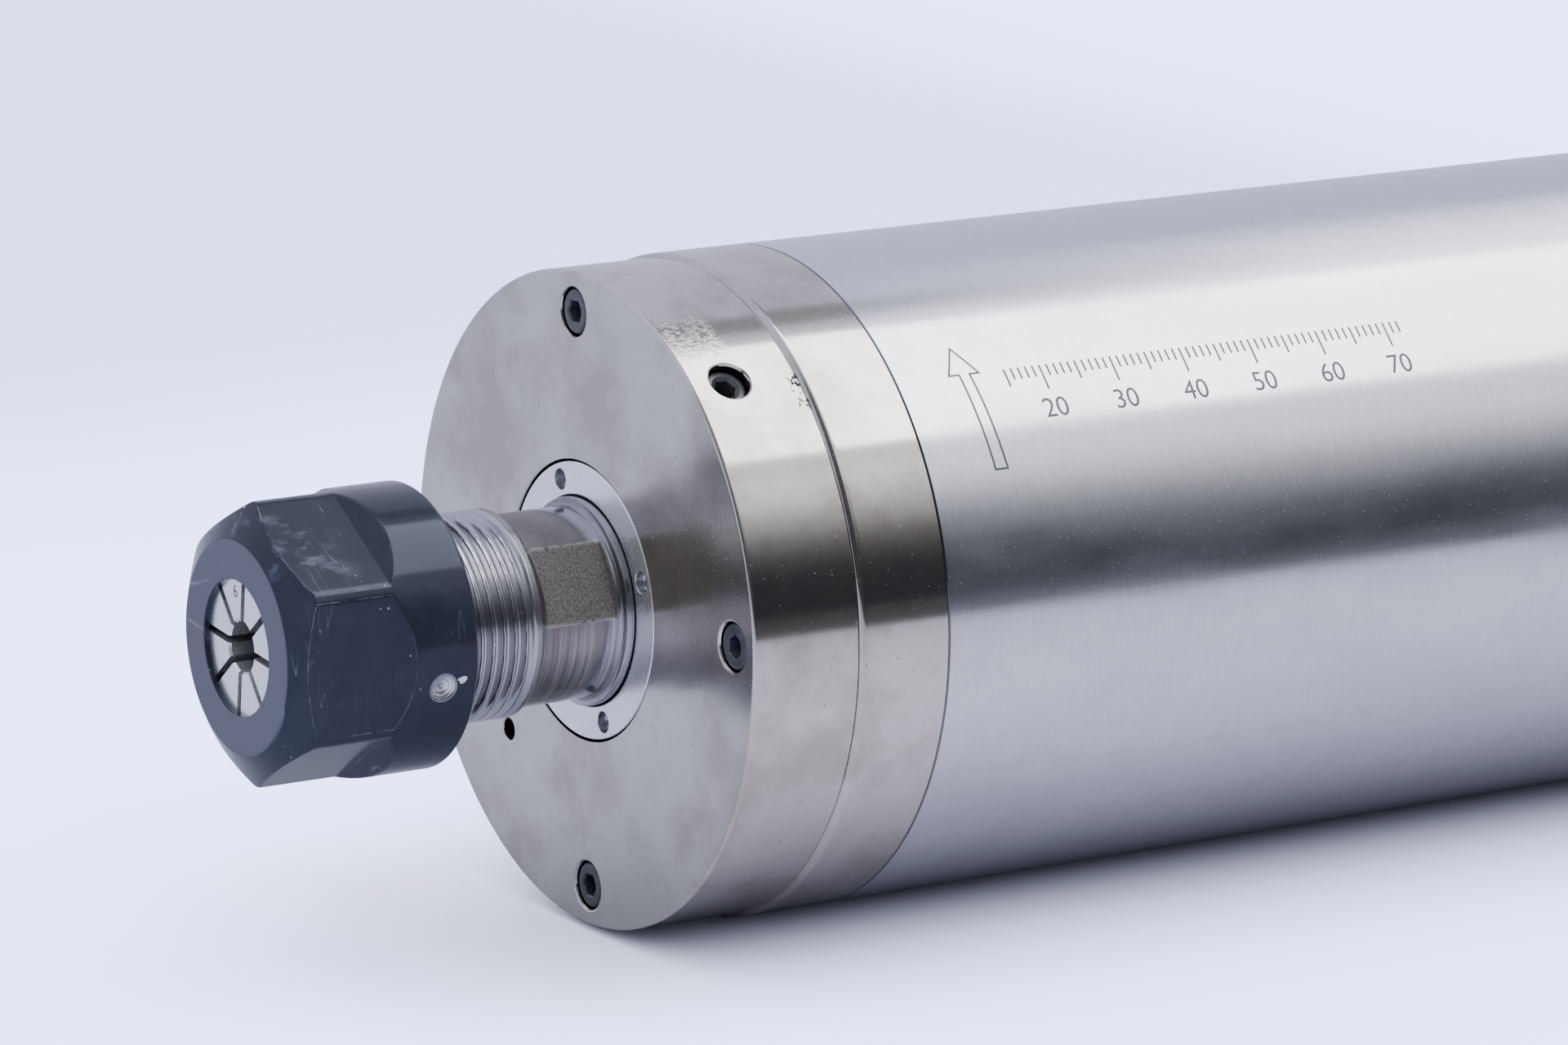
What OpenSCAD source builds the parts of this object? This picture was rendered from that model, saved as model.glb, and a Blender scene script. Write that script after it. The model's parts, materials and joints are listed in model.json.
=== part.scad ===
// Water-cooled high-speed motor spindle with a spring collet nose.
// Stations run rearwards from the front cover's face, in millimetres, along the spindle's axis.
// lay() puts that axis along +Y with +Z up, and the origin where the housing flange meets the tube.
// Angles around the axis are counted from +X towards +Z.

/* [Body] */
// Clamping diameter of the body
body_d = 80; // [78:0.5:110]
// Length from the front cover's face to the rear cover's face
body_l = 235; // [228:1:320]
// Wall of the body tube
tube_wall = 3; // [2:0.1:3.6]
// Radial step from the covers down from the body
cover_step = 0.5; // [0.2:0.1:1.5]
// Thickness of the front cover
cover_t = 14.1; // [13.6:0.1:17]
// Visible width of the front housing flange
flange_t = 12.1; // [11:0.1:18]
// Rounding of the front housing's front edge
flange_round = 1; // [0.3:0.1:1.5]
// Rounding of the covers' outer edges
cover_round = 0.5; // [0.2:0.1:1]
// Bevel where the tube meets a flange
joint_bevel = 0.15; // [0.05:0.05:0.4]
// Visible width of the rear housing flange
rear_flange_t = 9; // [8.6:0.1:15]
// Thickness of the rear cover
rear_cover_t = 13.5; // [13:0.1:18]
// Thickness of the gasket under the rear cover
gasket_t = 0.5; // [0.3:0.1:1]

/* [Cover screws] */
// Pitch circle of the cover screws
screw_pcd = 69.3; // [66:0.1:70.5]
// Angle of the first front cover screw
screw_turn = 2.2; // [-20:0.1:20]
// Thread diameter of the cover screws
screw_d = 3; // [2.5:0.5:3.5]
// Head diameter
screw_head_d = 5.5; // [4.5:0.1:5.8]
// Head height
screw_head_h = 3; // [2:0.1:3.2]
// Socket across flats
screw_hex = 2.5; // [2:0.1:2.8]
// Depth of the head's face under the cover's face
screw_sink = 0.25; // [0.1:0.05:0.5]
// Thread engaged in the housing
screw_grip = 8.5; // [5:0.5:9.5]
// Bevel around each counterbore
counterbore_bevel = 0.4; // [0.1:0.1:0.6]

/* [Cover side port] */
// Station of the port in the front cover's side
port_s = 5.4; // [4:0.1:8]
// Angle of the port around the axis
port_turn = 50.2; // [35:0.1:60]
// Thread diameter of the port
port_d = 5; // [4:0.5:6]
// Depth of the plug's face under the cover's side
port_sink = 1.3; // [0.5:0.1:2]
// Length of the plug
plug_l = 6; // [4:0.5:8]
// Bevel around the port
port_bevel = 0.3; // [0.1:0.1:0.5]
// Passage from the port to the labyrinth
passage_d = 2.5; // [1.5:0.1:3]
// Pitch radius of the small tapped hole in the face
jack_r = 26; // [24:0.1:28]
// Angle of the small tapped hole
jack_turn = -131.9; // [-140:0.1:-120]
// Diameter of the small tapped hole
jack_d = 2.7; // [2:0.1:4]

/* [Nose] */
// Collet nut thread diameter
nose_d = 25; // [24.6:0.1:25]
// Station of the shaft's front end
nose_s = -38.4; // [-40:0.1:-38.4]
// Station where the nose thread ends
thread_end_s = -12.3; // [-16:0.1:-12]
// Neck diameter
neck_d = 23; // [22.6:0.1:23.6]
// Wrench size across the neck's flats
wrench_af = 21; // [20:0.1:22]
// Station of the flats' front end
flat_front_s = -11.1; // [-11.2:0.1:-9]
// Station of the flats' rear end
flat_rear_s = -1.65; // [-3:0.05:-1.65]
// Angle of the first flat
flat_turn = 26.2; // [-90:0.1:90]
// Fillet from the neck into the bead
neck_fillet = 0.7; // [0.3:0.1:0.8]

/* [Collet] */
// Station of the collet's face
collet_s = -45.2; // [-45.2:0.1:-44.9]
// Clamping bore
collet_bore = 6; // [4:0.5:8]
// Largest diameter
collet_d = 21; // [20.8:0.1:21]
// Length
collet_l = 31.5; // [30:0.5:32]
// Half angle of the rear taper
collet_half_angle = 8; // [7.8:0.1:8.2]
// Diameter of the front rim
rim_d = 19.5; // [19:0.1:19.6]
// Width of the front rim
rim_w = 1.9; // [1.6:0.1:2]
// Diameter in the extraction groove
groove_d = 17.4; // [17:0.1:17.6]
// Width of the extraction groove
groove_w = 2.1; // [2:0.1:2.4]
// Half angle of the front cone
front_cone_angle = 30; // [28:1:32]
// Width of the slots cut from the front
slit_w = 0.9; // [0.4:0.1:0.9]
// Width of the slots cut from the rear
rear_slit_w = 0.5; // [0.3:0.1:0.6]
// Length of the slots cut from the rear
rear_slit_l = 14.5; // [8:0.5:14.5]
// Number of slots at each end
slits = 8; // [4:1:8]
// Angle of the first slot
slit_turn = -6; // [-22:1:22]
// Solid length left at the end of each slot
slit_web = 5; // [3:0.5:7]

/* [Collet nut] */
// Outer diameter of the nut
nut_d = 34; // [32:0.1:36]
// Length of the nut
nut_l = 22.7; // [20:0.1:25]
// Width across the flats
nut_af = 30; // [29:0.1:31]
// Angle of the first flat
nut_turn = -0.9; // [-30:0.1:30]
// Diameter of the front opening
nut_mouth_d = 16; // [14:0.1:17]
// Thickness of the lip around the opening
nut_lip_t = 0.6; // [0.4:0.1:0.65]
// Diameter of the flat front face
nut_face_d = 25.1; // [24:0.1:27]
// Length of the flats from the front face
nut_flat_l = 12.5; // [10:0.1:14]
// Sideways offset of the extractor ring
extractor_offset = 0.5; // [0.3:0.05:0.5]
// Station of the balance dimple
dimple_s = -27.8; // [-29:0.1:-26]
// Angle of the balance dimple
dimple_turn = -12.4; // [-25:0.1:0]
// Diameter of the balance dimple
dimple_d = 3.5; // [2:0.1:4]

/* [Ring nut] */
// Outer diameter of the ring nut
ring_d = 33.3; // [32:0.1:36]
// Depth of the ring nut's face under the cover's face
ring_sink = 0.2; // [0:0.05:0.5]
// Radial gap of the labyrinth around it
ring_gap = 0.28; // [0.15:0.01:0.4]
// Length of its wide part
ring_head_l = 9; // [8:0.1:10]
// Pitch radius of the spanner holes
pin_hole_r = 14.67; // [14.3:0.01:14.9]
// Diameter of the spanner holes
pin_hole_d = 2.6; // [2:0.1:2.8]
// Depth of the spanner holes
pin_hole_h = 1.2; // [1:0.1:6]
// Angle of the first spanner hole
pin_hole_turn = 19.4; // [0:0.1:90]

/* [Bearings] */
// Front bearing bore
front_bore = 25; // [25:0.5:26]
// Front bearing outside diameter
front_od = 47; // [46:0.5:52]
// Front bearing width
front_w = 12; // [10:0.5:14]
// Front ball diameter
front_ball = 6.35; // [5.5:0.05:6.5]
// Balls in a front bearing
front_balls_n = 12; // [8:1:13]
// Rear bearing bore
rear_bore = 15; // [14:0.5:16]
// Rear bearing outside diameter
rear_od = 32; // [31:0.5:35]
// Rear bearing width
rear_w = 9; // [8:0.5:11]
// Rear ball diameter
rear_ball = 4.76; // [4:0.01:4.9]
// Balls in a rear bearing
rear_balls_n = 10; // [7:1:11]
// Length of the spacers between two bearings
spacer_l = 5; // [3:0.5:8]
// Depth that the cover's spigot reaches into the bearing bore
spigot_l = 2; // [1:0.5:3]

/* [Motor] */
// Bore of the stator
stator_bore = 34.6; // [34:0.1:36]
// Length of the stator and rotor stacks
stack_l = 90; // [60:1:92]
// Distance from the front housing's rear end to the stacks
stack_gap = 11.9; // [10.3:0.1:14]
// Air gap
air_gap = 0.3; // [0.2:0.05:0.5]
// Number of stator slots
stator_slots = 24; // [18:6:24]
// Depth of the stator slots
slot_depth = 8; // [5:0.5:9]
// Number of rotor bars
rotor_bars = 18; // [12:1:20]
// Diameter of the rotor bars
bar_d = 2.4; // [1.5:0.1:2.6]
// Shaft diameter under the rotor stack
rotor_seat_d = 26; // [25.2:0.1:27]

/* [Water jacket] */
// Wall of the jacket sleeve
jacket_wall = 5; // [4.5:0.1:6]
// Depth of the water channels
channel_h = 2.8; // [1.5:0.1:3]
// Number of lengthways channels
channels = 12; // [8:2:16]
// Width of the ribs between them, in degrees
rib_deg = 6; // [4:0.5:8]
// Length of each turning passage at a channel's end
turn_l = 8; // [5:0.5:12]
// Cord diameter of the seals
seal_d = 1.8; // [1.2:0.1:2]

/* [Rear connections] */
// Distance of the water fittings from the axis
fitting_r = 31; // [30.8:0.1:31.4]
// Angle of the water fittings to each side of the top
fitting_turn = 24; // [22:0.5:26]
// Wrench size of the water fittings
fitting_af = 12; // [11:0.5:13]
// Outside diameter of the nipple
nipple_d = 6; // [5:0.1:6]
// Length of the nipple beyond the fitting's thread
nipple_l = 10; // [8:0.5:14]
// Diameter of the hose that the nut passes
hose_d = 8; // [8:0.1:8.6]
// Outside diameter of the hose nut
hose_nut_d = 14; // [13:0.5:16]
// Distance of the power socket from the axis
socket_r = 15; // [14:0.5:15]
// Thread diameter of the power socket
socket_d = 16; // [15:0.5:16]
// Length of the socket's thread beyond its flange
socket_l = 9; // [7:0.5:12]
// Number of contacts
contacts = 4; // [3:1:5]

/* [Hidden] */

$fn = 96;
// Overshoot of cutting tools past a face
slack = 1;
// Clearance of pieces that are pressed, screwed or slid together and stay put
seat_gap = 0.01;
// Clearance of turning and sliding fits
run_gap = 0.04;
// Clearance around loose inner pieces
free_gap = 0.3;

// Stations
clamp_plane = cover_t + flange_t;
cover_r = body_d / 2 - cover_step;
bore_r = body_d / 2 - tube_wall;
jacket_in_r = bore_r - jacket_wall;
rear_face_s = body_l;
rear_cover_s = rear_face_s - rear_cover_t;
rear_joint_s = rear_cover_s - gasket_t;
tube_end_s = rear_joint_s - rear_flange_t;
front_a_s = cover_t + spigot_l;
front_b_s = front_a_s + front_w + spacer_l;
front_shoulder_s = front_b_s + front_w;
front_step_s = clamp_plane + 12;
housing_end_s = front_shoulder_s + 5;
rear_step_s = tube_end_s - 12;
rear_hub_s = rear_step_s - 28;
spring_room = 2;
rear_wall_t = 4;
rear_a_s = rear_hub_s + rear_wall_t + spring_room;
rear_b_s = rear_a_s + rear_w + spacer_l;
locknut_s = rear_b_s + rear_w;
locknut_t = 6;
shaft_end_s = locknut_s + locknut_t + 2;
stack_s = housing_end_s + stack_gap;
stack_end_s = stack_s + stack_l;

// Lays the turned pieces along +Y, with local angles running the other way round
module lay() translate([0, -clamp_plane, 0]) rotate([-90, 0, 0]) children();

// Turns children to an angle around the axis and moves them out to a radius
module around(turn, r = 0) rotate([0, 0, -turn]) translate([r, 0, 0]) children();

// Repeats children evenly around the axis
module ring_of(n, r = 0, turn = 0) for (i = [0 : n - 1]) around(turn + i * 360 / n, r) children();

// A plain turned ring from station s0 to s1
module ring(r_in, r_out, s0, s1) rotate_extrude() translate([r_in, s0]) square([r_out - r_in, s1 - s0]);

// A round bar or hole from station s0 to s1
module bar(r, s0, s1) translate([0, 0, s0]) cylinder(r = r, h = s1 - s0);

// What a rounding tool takes from a profile's corner; out points away from the metal
module corner_waste(p, r, out) translate(p) difference() {
    translate([out.x > 0 ? -r : -slack, out.y > 0 ? -r : -slack]) square(r + slack);
    translate([-out.x * r, -out.y * r]) circle(r);
}

// A hexagonal bar by its width across flats
module hex_bar(af, s0, s1) translate([0, 0, s0]) cylinder(d = af / cos(30), h = s1 - s0, $fn = 6);

// A rectangular seal groove in profile, open towards the outside
module seal_groove(r, s) translate([r - seal_d, s - seal_d * 0.75]) square([seal_d + slack, seal_d * 1.5]);

// Front seals sit halfway along their spigots, rear ones likewise
front_outer_seal_s = (clamp_plane + front_step_s) / 2;
front_inner_seal_s = (front_step_s + housing_end_s) / 2 + 1;
rear_inner_seal_s = rear_step_s - 6;
rear_outer_seal_s = (rear_step_s + tube_end_s) / 2;
housing_spigot_r = bore_r - seat_gap;
jacket_spigot_r = jacket_in_r - seat_gap;

module body_tube() color("lightsteelblue") lay() rotate_extrude() polygon([
    [bore_r, clamp_plane], [body_d / 2 - joint_bevel, clamp_plane],
    [body_d / 2, clamp_plane + joint_bevel], [body_d / 2, tube_end_s - joint_bevel],
    [body_d / 2 - joint_bevel, tube_end_s], [bore_r, tube_end_s]]);

module front_housing() color("silver") lay() difference() {
    rotate_extrude() difference() {
        polygon([
            [front_od / 2 + seat_gap, cover_t], [body_d / 2, cover_t],
            [body_d / 2, clamp_plane - joint_bevel], [body_d / 2 - joint_bevel, clamp_plane],
            [housing_spigot_r, clamp_plane], [housing_spigot_r, front_step_s],
            [jacket_spigot_r, front_step_s], [jacket_spigot_r, housing_end_s],
            [front_od / 2 - 4, housing_end_s], [front_od / 2 - 4, front_shoulder_s],
            [front_od / 2 + seat_gap, front_shoulder_s]]);
        corner_waste([body_d / 2, cover_t], flange_round, [1, -1]);
        seal_groove(housing_spigot_r, front_outer_seal_s);
        seal_groove(jacket_spigot_r, front_inner_seal_s);
    }
    ring_of(4, screw_pcd / 2, screw_turn)
        bar(screw_d / 2 + seat_gap, cover_t - slack, cover_t + screw_grip + 1);
}

ring_bore_r = ring_d / 2 + ring_gap;
ring_tail_r = front_bore / 2 + 2.8;
screw_under_s = screw_sink + screw_head_h;

// Grooves of the labyrinth, cut on both sides of the gap
module labyrinth(r) for (i = [0 : 1]) translate([r - 0.8, ring_head_l * (0.3 + 0.3 * i)]) square([1.6, 1.2]);

module front_cover() color("silver") lay() difference() {
    rotate_extrude() difference() {
        polygon([
            [ring_bore_r, 0], [cover_r, 0], [cover_r, cover_t], [front_od / 2 - seat_gap, cover_t],
            [front_od / 2 - seat_gap, front_a_s], [front_od / 2 - 2.8, front_a_s],
            [front_od / 2 - 4, front_a_s - 1.2], [ring_tail_r + ring_gap, front_a_s - 1.2],
            [ring_tail_r + ring_gap, ring_sink + ring_head_l + 0.6],
            [ring_bore_r, ring_sink + ring_head_l + 0.6]]);
        corner_waste([cover_r, 0], cover_round, [1, -1]);
        corner_waste([ring_bore_r, 0], 0.25, [-1, -1]);
        labyrinth(ring_bore_r);
    }
    ring_of(4, screw_pcd / 2, screw_turn) {
        bar(screw_d / 2 + 0.1, -slack, cover_t + slack);
        bar(screw_head_d / 2 + 0.2, -slack, screw_under_s);
        translate([0, 0, -slack]) cylinder(h = slack + counterbore_bevel,
            r1 = screw_head_d / 2 + 0.2 + counterbore_bevel + slack, r2 = screw_head_d / 2 + 0.2);
    }
    around(jack_turn, jack_r) bar(jack_d / 2, -slack, 8);
    around(port_turn) translate([0, 0, port_s]) rotate([0, 90, 0]) {
        bar(port_d / 2, cover_r - port_sink - plug_l - 0.5, cover_r + slack);
        bar(passage_d / 2, ring_bore_r - slack, cover_r);
        translate([0, 0, cover_r - port_bevel - 0.1]) cylinder(h = slack + port_bevel + 0.1,
            r1 = port_d / 2 - 0.05, r2 = port_d / 2 + slack + port_bevel + 0.05);
    }
}

// A socket head cap screw pointing along +Z, with its face at zero
module cap_screw(grip_l) {
    difference() {
        rotate_extrude() difference() {
            translate([0, 0]) square([screw_head_d / 2, screw_head_h]);
            corner_waste([screw_head_d / 2, 0], 0.3, [1, -1]);
        }
        hex_bar(screw_hex, -slack, screw_head_h * 0.55);
    }
    bar(screw_d / 2, screw_head_h - 0.01, screw_head_h + grip_l - 0.4);
    translate([0, 0, screw_head_h + grip_l - 0.4])
        cylinder(h = 0.4, r1 = screw_d / 2, r2 = screw_d / 2 - 0.4);
}

module front_cover_screws() color("dimgray") lay()
    ring_of(4, screw_pcd / 2, screw_turn) translate([0, 0, screw_sink])
        cap_screw(cover_t - screw_under_s + screw_grip);

module cover_port_plug() color("dimgray") lay()
    around(port_turn) translate([0, 0, port_s]) rotate([0, 90, 0]) difference() {
        bar(port_d / 2 - seat_gap, cover_r - port_sink - plug_l, cover_r - port_sink);
        translate([0, 0, cover_r - port_sink - 3]) cylinder(d = 2.5 / cos(30), h = 3 + slack, $fn = 6);
        translate([0, 0, cover_r - port_sink - 0.35])
            cylinder(h = 0.36, r1 = 1.45, r2 = 1.8);
    }

// Bearings. The ball's track is cut into both rings with a little more than the ball's radius.
function pitch_r(bore, od) = (bore + od) / 4;

// The outer ring's relief is on the side away from the load: +1 for rear, -1 for front
module outer_race(bore, od, w, ball, s, relief) rotate_extrude() translate([0, s]) difference() {
    translate([pitch_r(bore, od) + ball * 0.38, 0]) square([od / 2 - pitch_r(bore, od) - ball * 0.38, w]);
    translate([pitch_r(bore, od), w / 2]) circle(ball / 2 + run_gap);
    translate([0, relief > 0 ? w / 2 : -slack])
        square([pitch_r(bore, od) + ball * 0.46, w / 2 + slack]);
    corner_waste([od / 2, 0], 0.5, [1, -1]);
    corner_waste([od / 2, w], 0.5, [1, 1]);
}

module inner_race(bore, od, w, ball, s) rotate_extrude() translate([0, s]) difference() {
    translate([bore / 2 + seat_gap, 0]) square([pitch_r(bore, od) - ball * 0.38 - bore / 2 - seat_gap, w]);
    translate([pitch_r(bore, od), w / 2]) circle(ball / 2 + run_gap);
    corner_waste([bore / 2 + seat_gap, 0], 0.4, [-1, -1]);
    corner_waste([bore / 2 + seat_gap, w], 0.4, [-1, 1]);
}

// A one-piece cage guided by the outer ring, with a round pocket for each ball
module ball_cage(bore, od, w, ball, n, s) difference() {
    ring(pitch_r(bore, od) - ball * 0.16, pitch_r(bore, od) + ball * 0.33, s + 0.5, s + w - 0.5);
    ring_of(n, pitch_r(bore, od)) rotate([0, 90, 0]) translate([-s - w / 2, 0, -ball * 0.25])
        cylinder(d = ball + 0.2, h = ball * 0.7);
}

module ball_set(bore, od, w, ball, n, s)
    ring_of(n, pitch_r(bore, od)) translate([0, 0, s + w / 2]) sphere(d = ball);

module front_outer_rings() color("gainsboro") lay() {
    outer_race(front_bore, front_od, front_w, front_ball, front_a_s, 1);
    outer_race(front_bore, front_od, front_w, front_ball, front_b_s, 1);
}

module front_inner_rings() color("gainsboro") lay() {
    inner_race(front_bore, front_od, front_w, front_ball, front_a_s);
    inner_race(front_bore, front_od, front_w, front_ball, front_b_s);
}

module front_ball_cages() color("peru") lay() {
    ball_cage(front_bore, front_od, front_w, front_ball, front_balls_n, front_a_s);
    ball_cage(front_bore, front_od, front_w, front_ball, front_balls_n, front_b_s);
}

module front_balls() color("white") lay() {
    ball_set(front_bore, front_od, front_w, front_ball, front_balls_n, front_a_s);
    ball_set(front_bore, front_od, front_w, front_ball, front_balls_n, front_b_s);
}

module rear_outer_rings() color("gainsboro") lay() {
    outer_race(rear_bore, rear_od, rear_w, rear_ball, rear_a_s, -1);
    outer_race(rear_bore, rear_od, rear_w, rear_ball, rear_b_s, -1);
}

module rear_inner_rings() color("gainsboro") lay() {
    inner_race(rear_bore, rear_od, rear_w, rear_ball, rear_a_s);
    inner_race(rear_bore, rear_od, rear_w, rear_ball, rear_b_s);
}

module rear_ball_cages() color("peru") lay() {
    ball_cage(rear_bore, rear_od, rear_w, rear_ball, rear_balls_n, rear_a_s);
    ball_cage(rear_bore, rear_od, rear_w, rear_ball, rear_balls_n, rear_b_s);
}

module rear_balls() color("white") lay() {
    ball_set(rear_bore, rear_od, rear_w, rear_ball, rear_balls_n, rear_a_s);
    ball_set(rear_bore, rear_od, rear_w, rear_ball, rear_balls_n, rear_b_s);
}

module front_outer_spacer() color("darkgray") lay()
    ring(pitch_r(front_bore, front_od) + front_ball * 0.4, front_od / 2, front_a_s + front_w, front_b_s);

module front_inner_spacer() color("darkgray") lay()
    ring(front_bore / 2 + seat_gap, ring_tail_r, front_a_s + front_w, front_b_s);

module rear_outer_spacer() color("darkgray") lay()
    ring(pitch_r(rear_bore, rear_od) + rear_ball * 0.4, rear_od / 2, rear_a_s + rear_w, rear_b_s);

module rear_inner_spacer() color("darkgray") lay()
    ring(rear_bore / 2 + seat_gap, rear_bore / 2 + 1.8, rear_a_s + rear_w, rear_b_s);

// Water jacket: lengthways channels joined in turn at the front and at the rear, so that water
// runs once around the sleeve from the first channel to the last, which a whole rib keeps apart
jacket_front_s = front_step_s + 0.1;
jacket_rear_s = rear_step_s - 0.1;
channel_front_s = jacket_front_s + 10;
channel_rear_s = jacket_rear_s - 10;
channel_pitch = 360 / channels;

// A sector of the channel ring, from one angle to another and one station to another
module sector(r_in, r_out, a0, a1, s0, s1) translate([0, 0, s0]) rotate([0, 0, -a1])
    rotate_extrude(angle = a1 - a0) translate([r_in, 0]) square([r_out - r_in, s1 - s0]);

module water_jacket() color("lightgray") lay() difference() {
    ring(jacket_in_r, bore_r - seat_gap, jacket_front_s, jacket_rear_s);
    for (i = [0 : channels - 1]) {
        a = 90 + channel_pitch * i + rib_deg / 2;
        sector(bore_r - channel_h, bore_r + slack, a, a + channel_pitch - rib_deg,
            channel_front_s, channel_rear_s);
        if (i < channels - 1)
            sector(bore_r - channel_h + 0.3, bore_r + 2 * slack,
                a + channel_pitch - rib_deg - 1, a + channel_pitch + 1,
                i % 2 == 0 ? channel_front_s + 0.5 : channel_rear_s - 0.5 - turn_l,
                i % 2 == 0 ? channel_front_s + 0.5 + turn_l : channel_rear_s - 0.5);
    }
    for (side = [-1, 1])
        sector(jacket_in_r + 1, bore_r - 1, 90 + side * channel_pitch / 2 - 4, 90 + side * channel_pitch / 2 + 4,
            channel_rear_s - 1, jacket_rear_s + slack);
}

// A round seal in its groove, touching the wall around it
module seal(r, s) rotate_extrude() translate([r - seal_d / 2, s]) circle(d = seal_d - 2 * seat_gap);

module jacket_seals() color("black") lay() {
    seal(bore_r, front_outer_seal_s);
    seal(jacket_in_r, front_inner_seal_s);
    seal(jacket_in_r, rear_inner_seal_s);
    seal(bore_r, rear_outer_seal_s);
}

// Motor. A stator slot widens outwards so that the teeth keep their width.
slot_r = stator_bore / 2 + 1.2;
slot_in_w = 2 * PI * slot_r / stator_slots * 0.5;
slot_out_w = 2 * PI * (slot_r + slot_depth) / stator_slots * 0.62;
slot_mouth_w = 1.4;

module slot_outline(skin = 0) polygon([
    [slot_r + skin, slot_in_w / 2 - skin], [slot_r + slot_depth - skin, slot_out_w / 2 - skin],
    [slot_r + slot_depth - skin, -slot_out_w / 2 + skin], [slot_r + skin, -slot_in_w / 2 + skin]]);

module stator_core() color("slategray") lay() translate([0, 0, stack_s]) linear_extrude(stack_l)
    difference() {
        circle(jacket_in_r - seat_gap);
        circle(stator_bore / 2);
        ring_of(stator_slots) {
            slot_outline();
            translate([0, -slot_mouth_w / 2]) square([slot_r + 0.5, slot_mouth_w]);
        }
    }

// A rounded bundle of end turns
module end_turns(s0, s1) rotate_extrude() translate([slot_r + 0.8, s0]) difference() {
    square([slot_depth + 1.6, s1 - s0]);
    for (x = [0, 1], y = [0, 1])
        corner_waste([x * (slot_depth + 1.6), y * (s1 - s0)], 2, [2 * x - 1, 2 * y - 1]);
}

turns_l = 9.4;
turns_gap = 0.6;

module stator_windings() color("chocolate") lay() {
    end_turns(stack_s - turns_gap - turns_l, stack_s - turns_gap);
    end_turns(stack_end_s + turns_gap, stack_end_s + turns_gap + turns_l);
    translate([0, 0, stack_s - turns_gap - 2]) linear_extrude(stack_l + 2 * (turns_gap + 2))
        ring_of(stator_slots) slot_outline(0.25);
}

rotor_r = stator_bore / 2 - air_gap;
bar_circle_r = rotor_r - bar_d / 2 - 0.5;
end_ring_l = 5;

module rotor_core() color("slategray") lay() difference() {
    ring(rotor_seat_d / 2 + seat_gap, rotor_r, stack_s, stack_end_s);
    ring_of(rotor_bars, bar_circle_r) bar(bar_d / 2, stack_s - slack, stack_end_s + slack);
}

module rotor_cage() color("lightgray") lay() {
    ring(rotor_seat_d / 2 + 0.4, rotor_r, stack_s - end_ring_l, stack_s);
    ring(rotor_seat_d / 2 + 0.4, rotor_r, stack_end_s, stack_end_s + end_ring_l);
    ring_of(rotor_bars, bar_circle_r) bar(bar_d / 2 - seat_gap, stack_s - 1, stack_end_s + 1);
}

// Spindle shaft with its collet taper
taper = tan(collet_half_angle);
cone_front_s = collet_s + rim_w + groove_w;
cone_front_r = groove_d / 2 + 0.5;
cone_rear_s = cone_front_s + (collet_d / 2 - cone_front_r) / tan(front_cone_angle);
collet_end_s = collet_s + collet_l;
function taper_r(s) = collet_d / 2 - taper * (s - cone_rear_s);
socket_end_s = collet_end_s + 1.2;
shank_r = taper_r(socket_end_s) - 0.3;
shank_end_s = socket_end_s + 22;
bead_s = flat_rear_s + 0.1 + neck_fillet;
seat_r = front_bore / 2;

module spindle_shaft() color("silver") lay() difference() {
    rotate_extrude() difference() {
        union() {
            polygon([
                [0, nose_s], [nose_d / 2 - 0.6, nose_s], [nose_d / 2, nose_s + 0.6],
                [nose_d / 2, thread_end_s], [neck_d / 2, thread_end_s + (nose_d - neck_d) / 2],
                [neck_d / 2, bead_s], [seat_r, bead_s],
                [seat_r, front_shoulder_s], [seat_r + 3, front_shoulder_s],
                [seat_r + 3, housing_end_s + 1], [rotor_seat_d / 2, housing_end_s + 1],
                [rotor_seat_d / 2, stack_end_s + end_ring_l + 4],
                [rear_bore / 2 + 2, stack_end_s + end_ring_l + 4 + (rotor_seat_d - rear_bore) / 2 - 2],
                [rear_bore / 2 + 2, rear_a_s], [rear_bore / 2, rear_a_s],
                [rear_bore / 2, shaft_end_s - 0.6], [rear_bore / 2 - 0.6, shaft_end_s], [0, shaft_end_s]]);
            translate([neck_d / 2, bead_s]) difference() {
                translate([-slack, -neck_fillet]) square(neck_fillet + slack);
                translate([neck_fillet, -neck_fillet]) circle(neck_fillet);
            }
        }
        corner_waste([seat_r, bead_s], 0.25, [1, -1]);
    }
    rotate_extrude() polygon([
        [0, nose_s - slack], [taper_r(nose_s - slack) + run_gap, nose_s - slack],
        [taper_r(socket_end_s) + run_gap, socket_end_s], [shank_r, socket_end_s],
        [shank_r, shank_end_s], [0.5, shank_end_s + (shank_r - 0.5) * tan(31)],
        [0, shank_end_s + (shank_r - 0.5) * tan(31)]]);
    for (side = [0, 180]) around(flat_turn + side, wrench_af / 2)
        translate([0, -nose_d / 2, flat_front_s]) cube([nose_d / 4, nose_d, flat_rear_s - flat_front_s]);
    translate([0, 0, shaft_end_s - 4]) cylinder(h = 4.01, r1 = 0.2, r2 = 2.5);
}

module ring_nut() color("gainsboro") lay() difference() {
    rotate_extrude() difference() {
        translate([seat_r + seat_gap, ring_sink]) polygon([
            [0.35, 0], [ring_d / 2 - seat_r - 0.25, 0], [ring_d / 2 - seat_r - seat_gap, 0.2],
            [ring_d / 2 - seat_r - seat_gap, ring_head_l], [ring_tail_r - seat_r, ring_head_l],
            [ring_tail_r - seat_r, front_a_s - ring_sink], [0, front_a_s - ring_sink], [0, 0.35]]);
        labyrinth(ring_d / 2);
    }
    ring_of(4, pin_hole_r, pin_hole_turn) bar(pin_hole_d / 2, ring_sink - slack, ring_sink + pin_hole_h);
}

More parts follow.
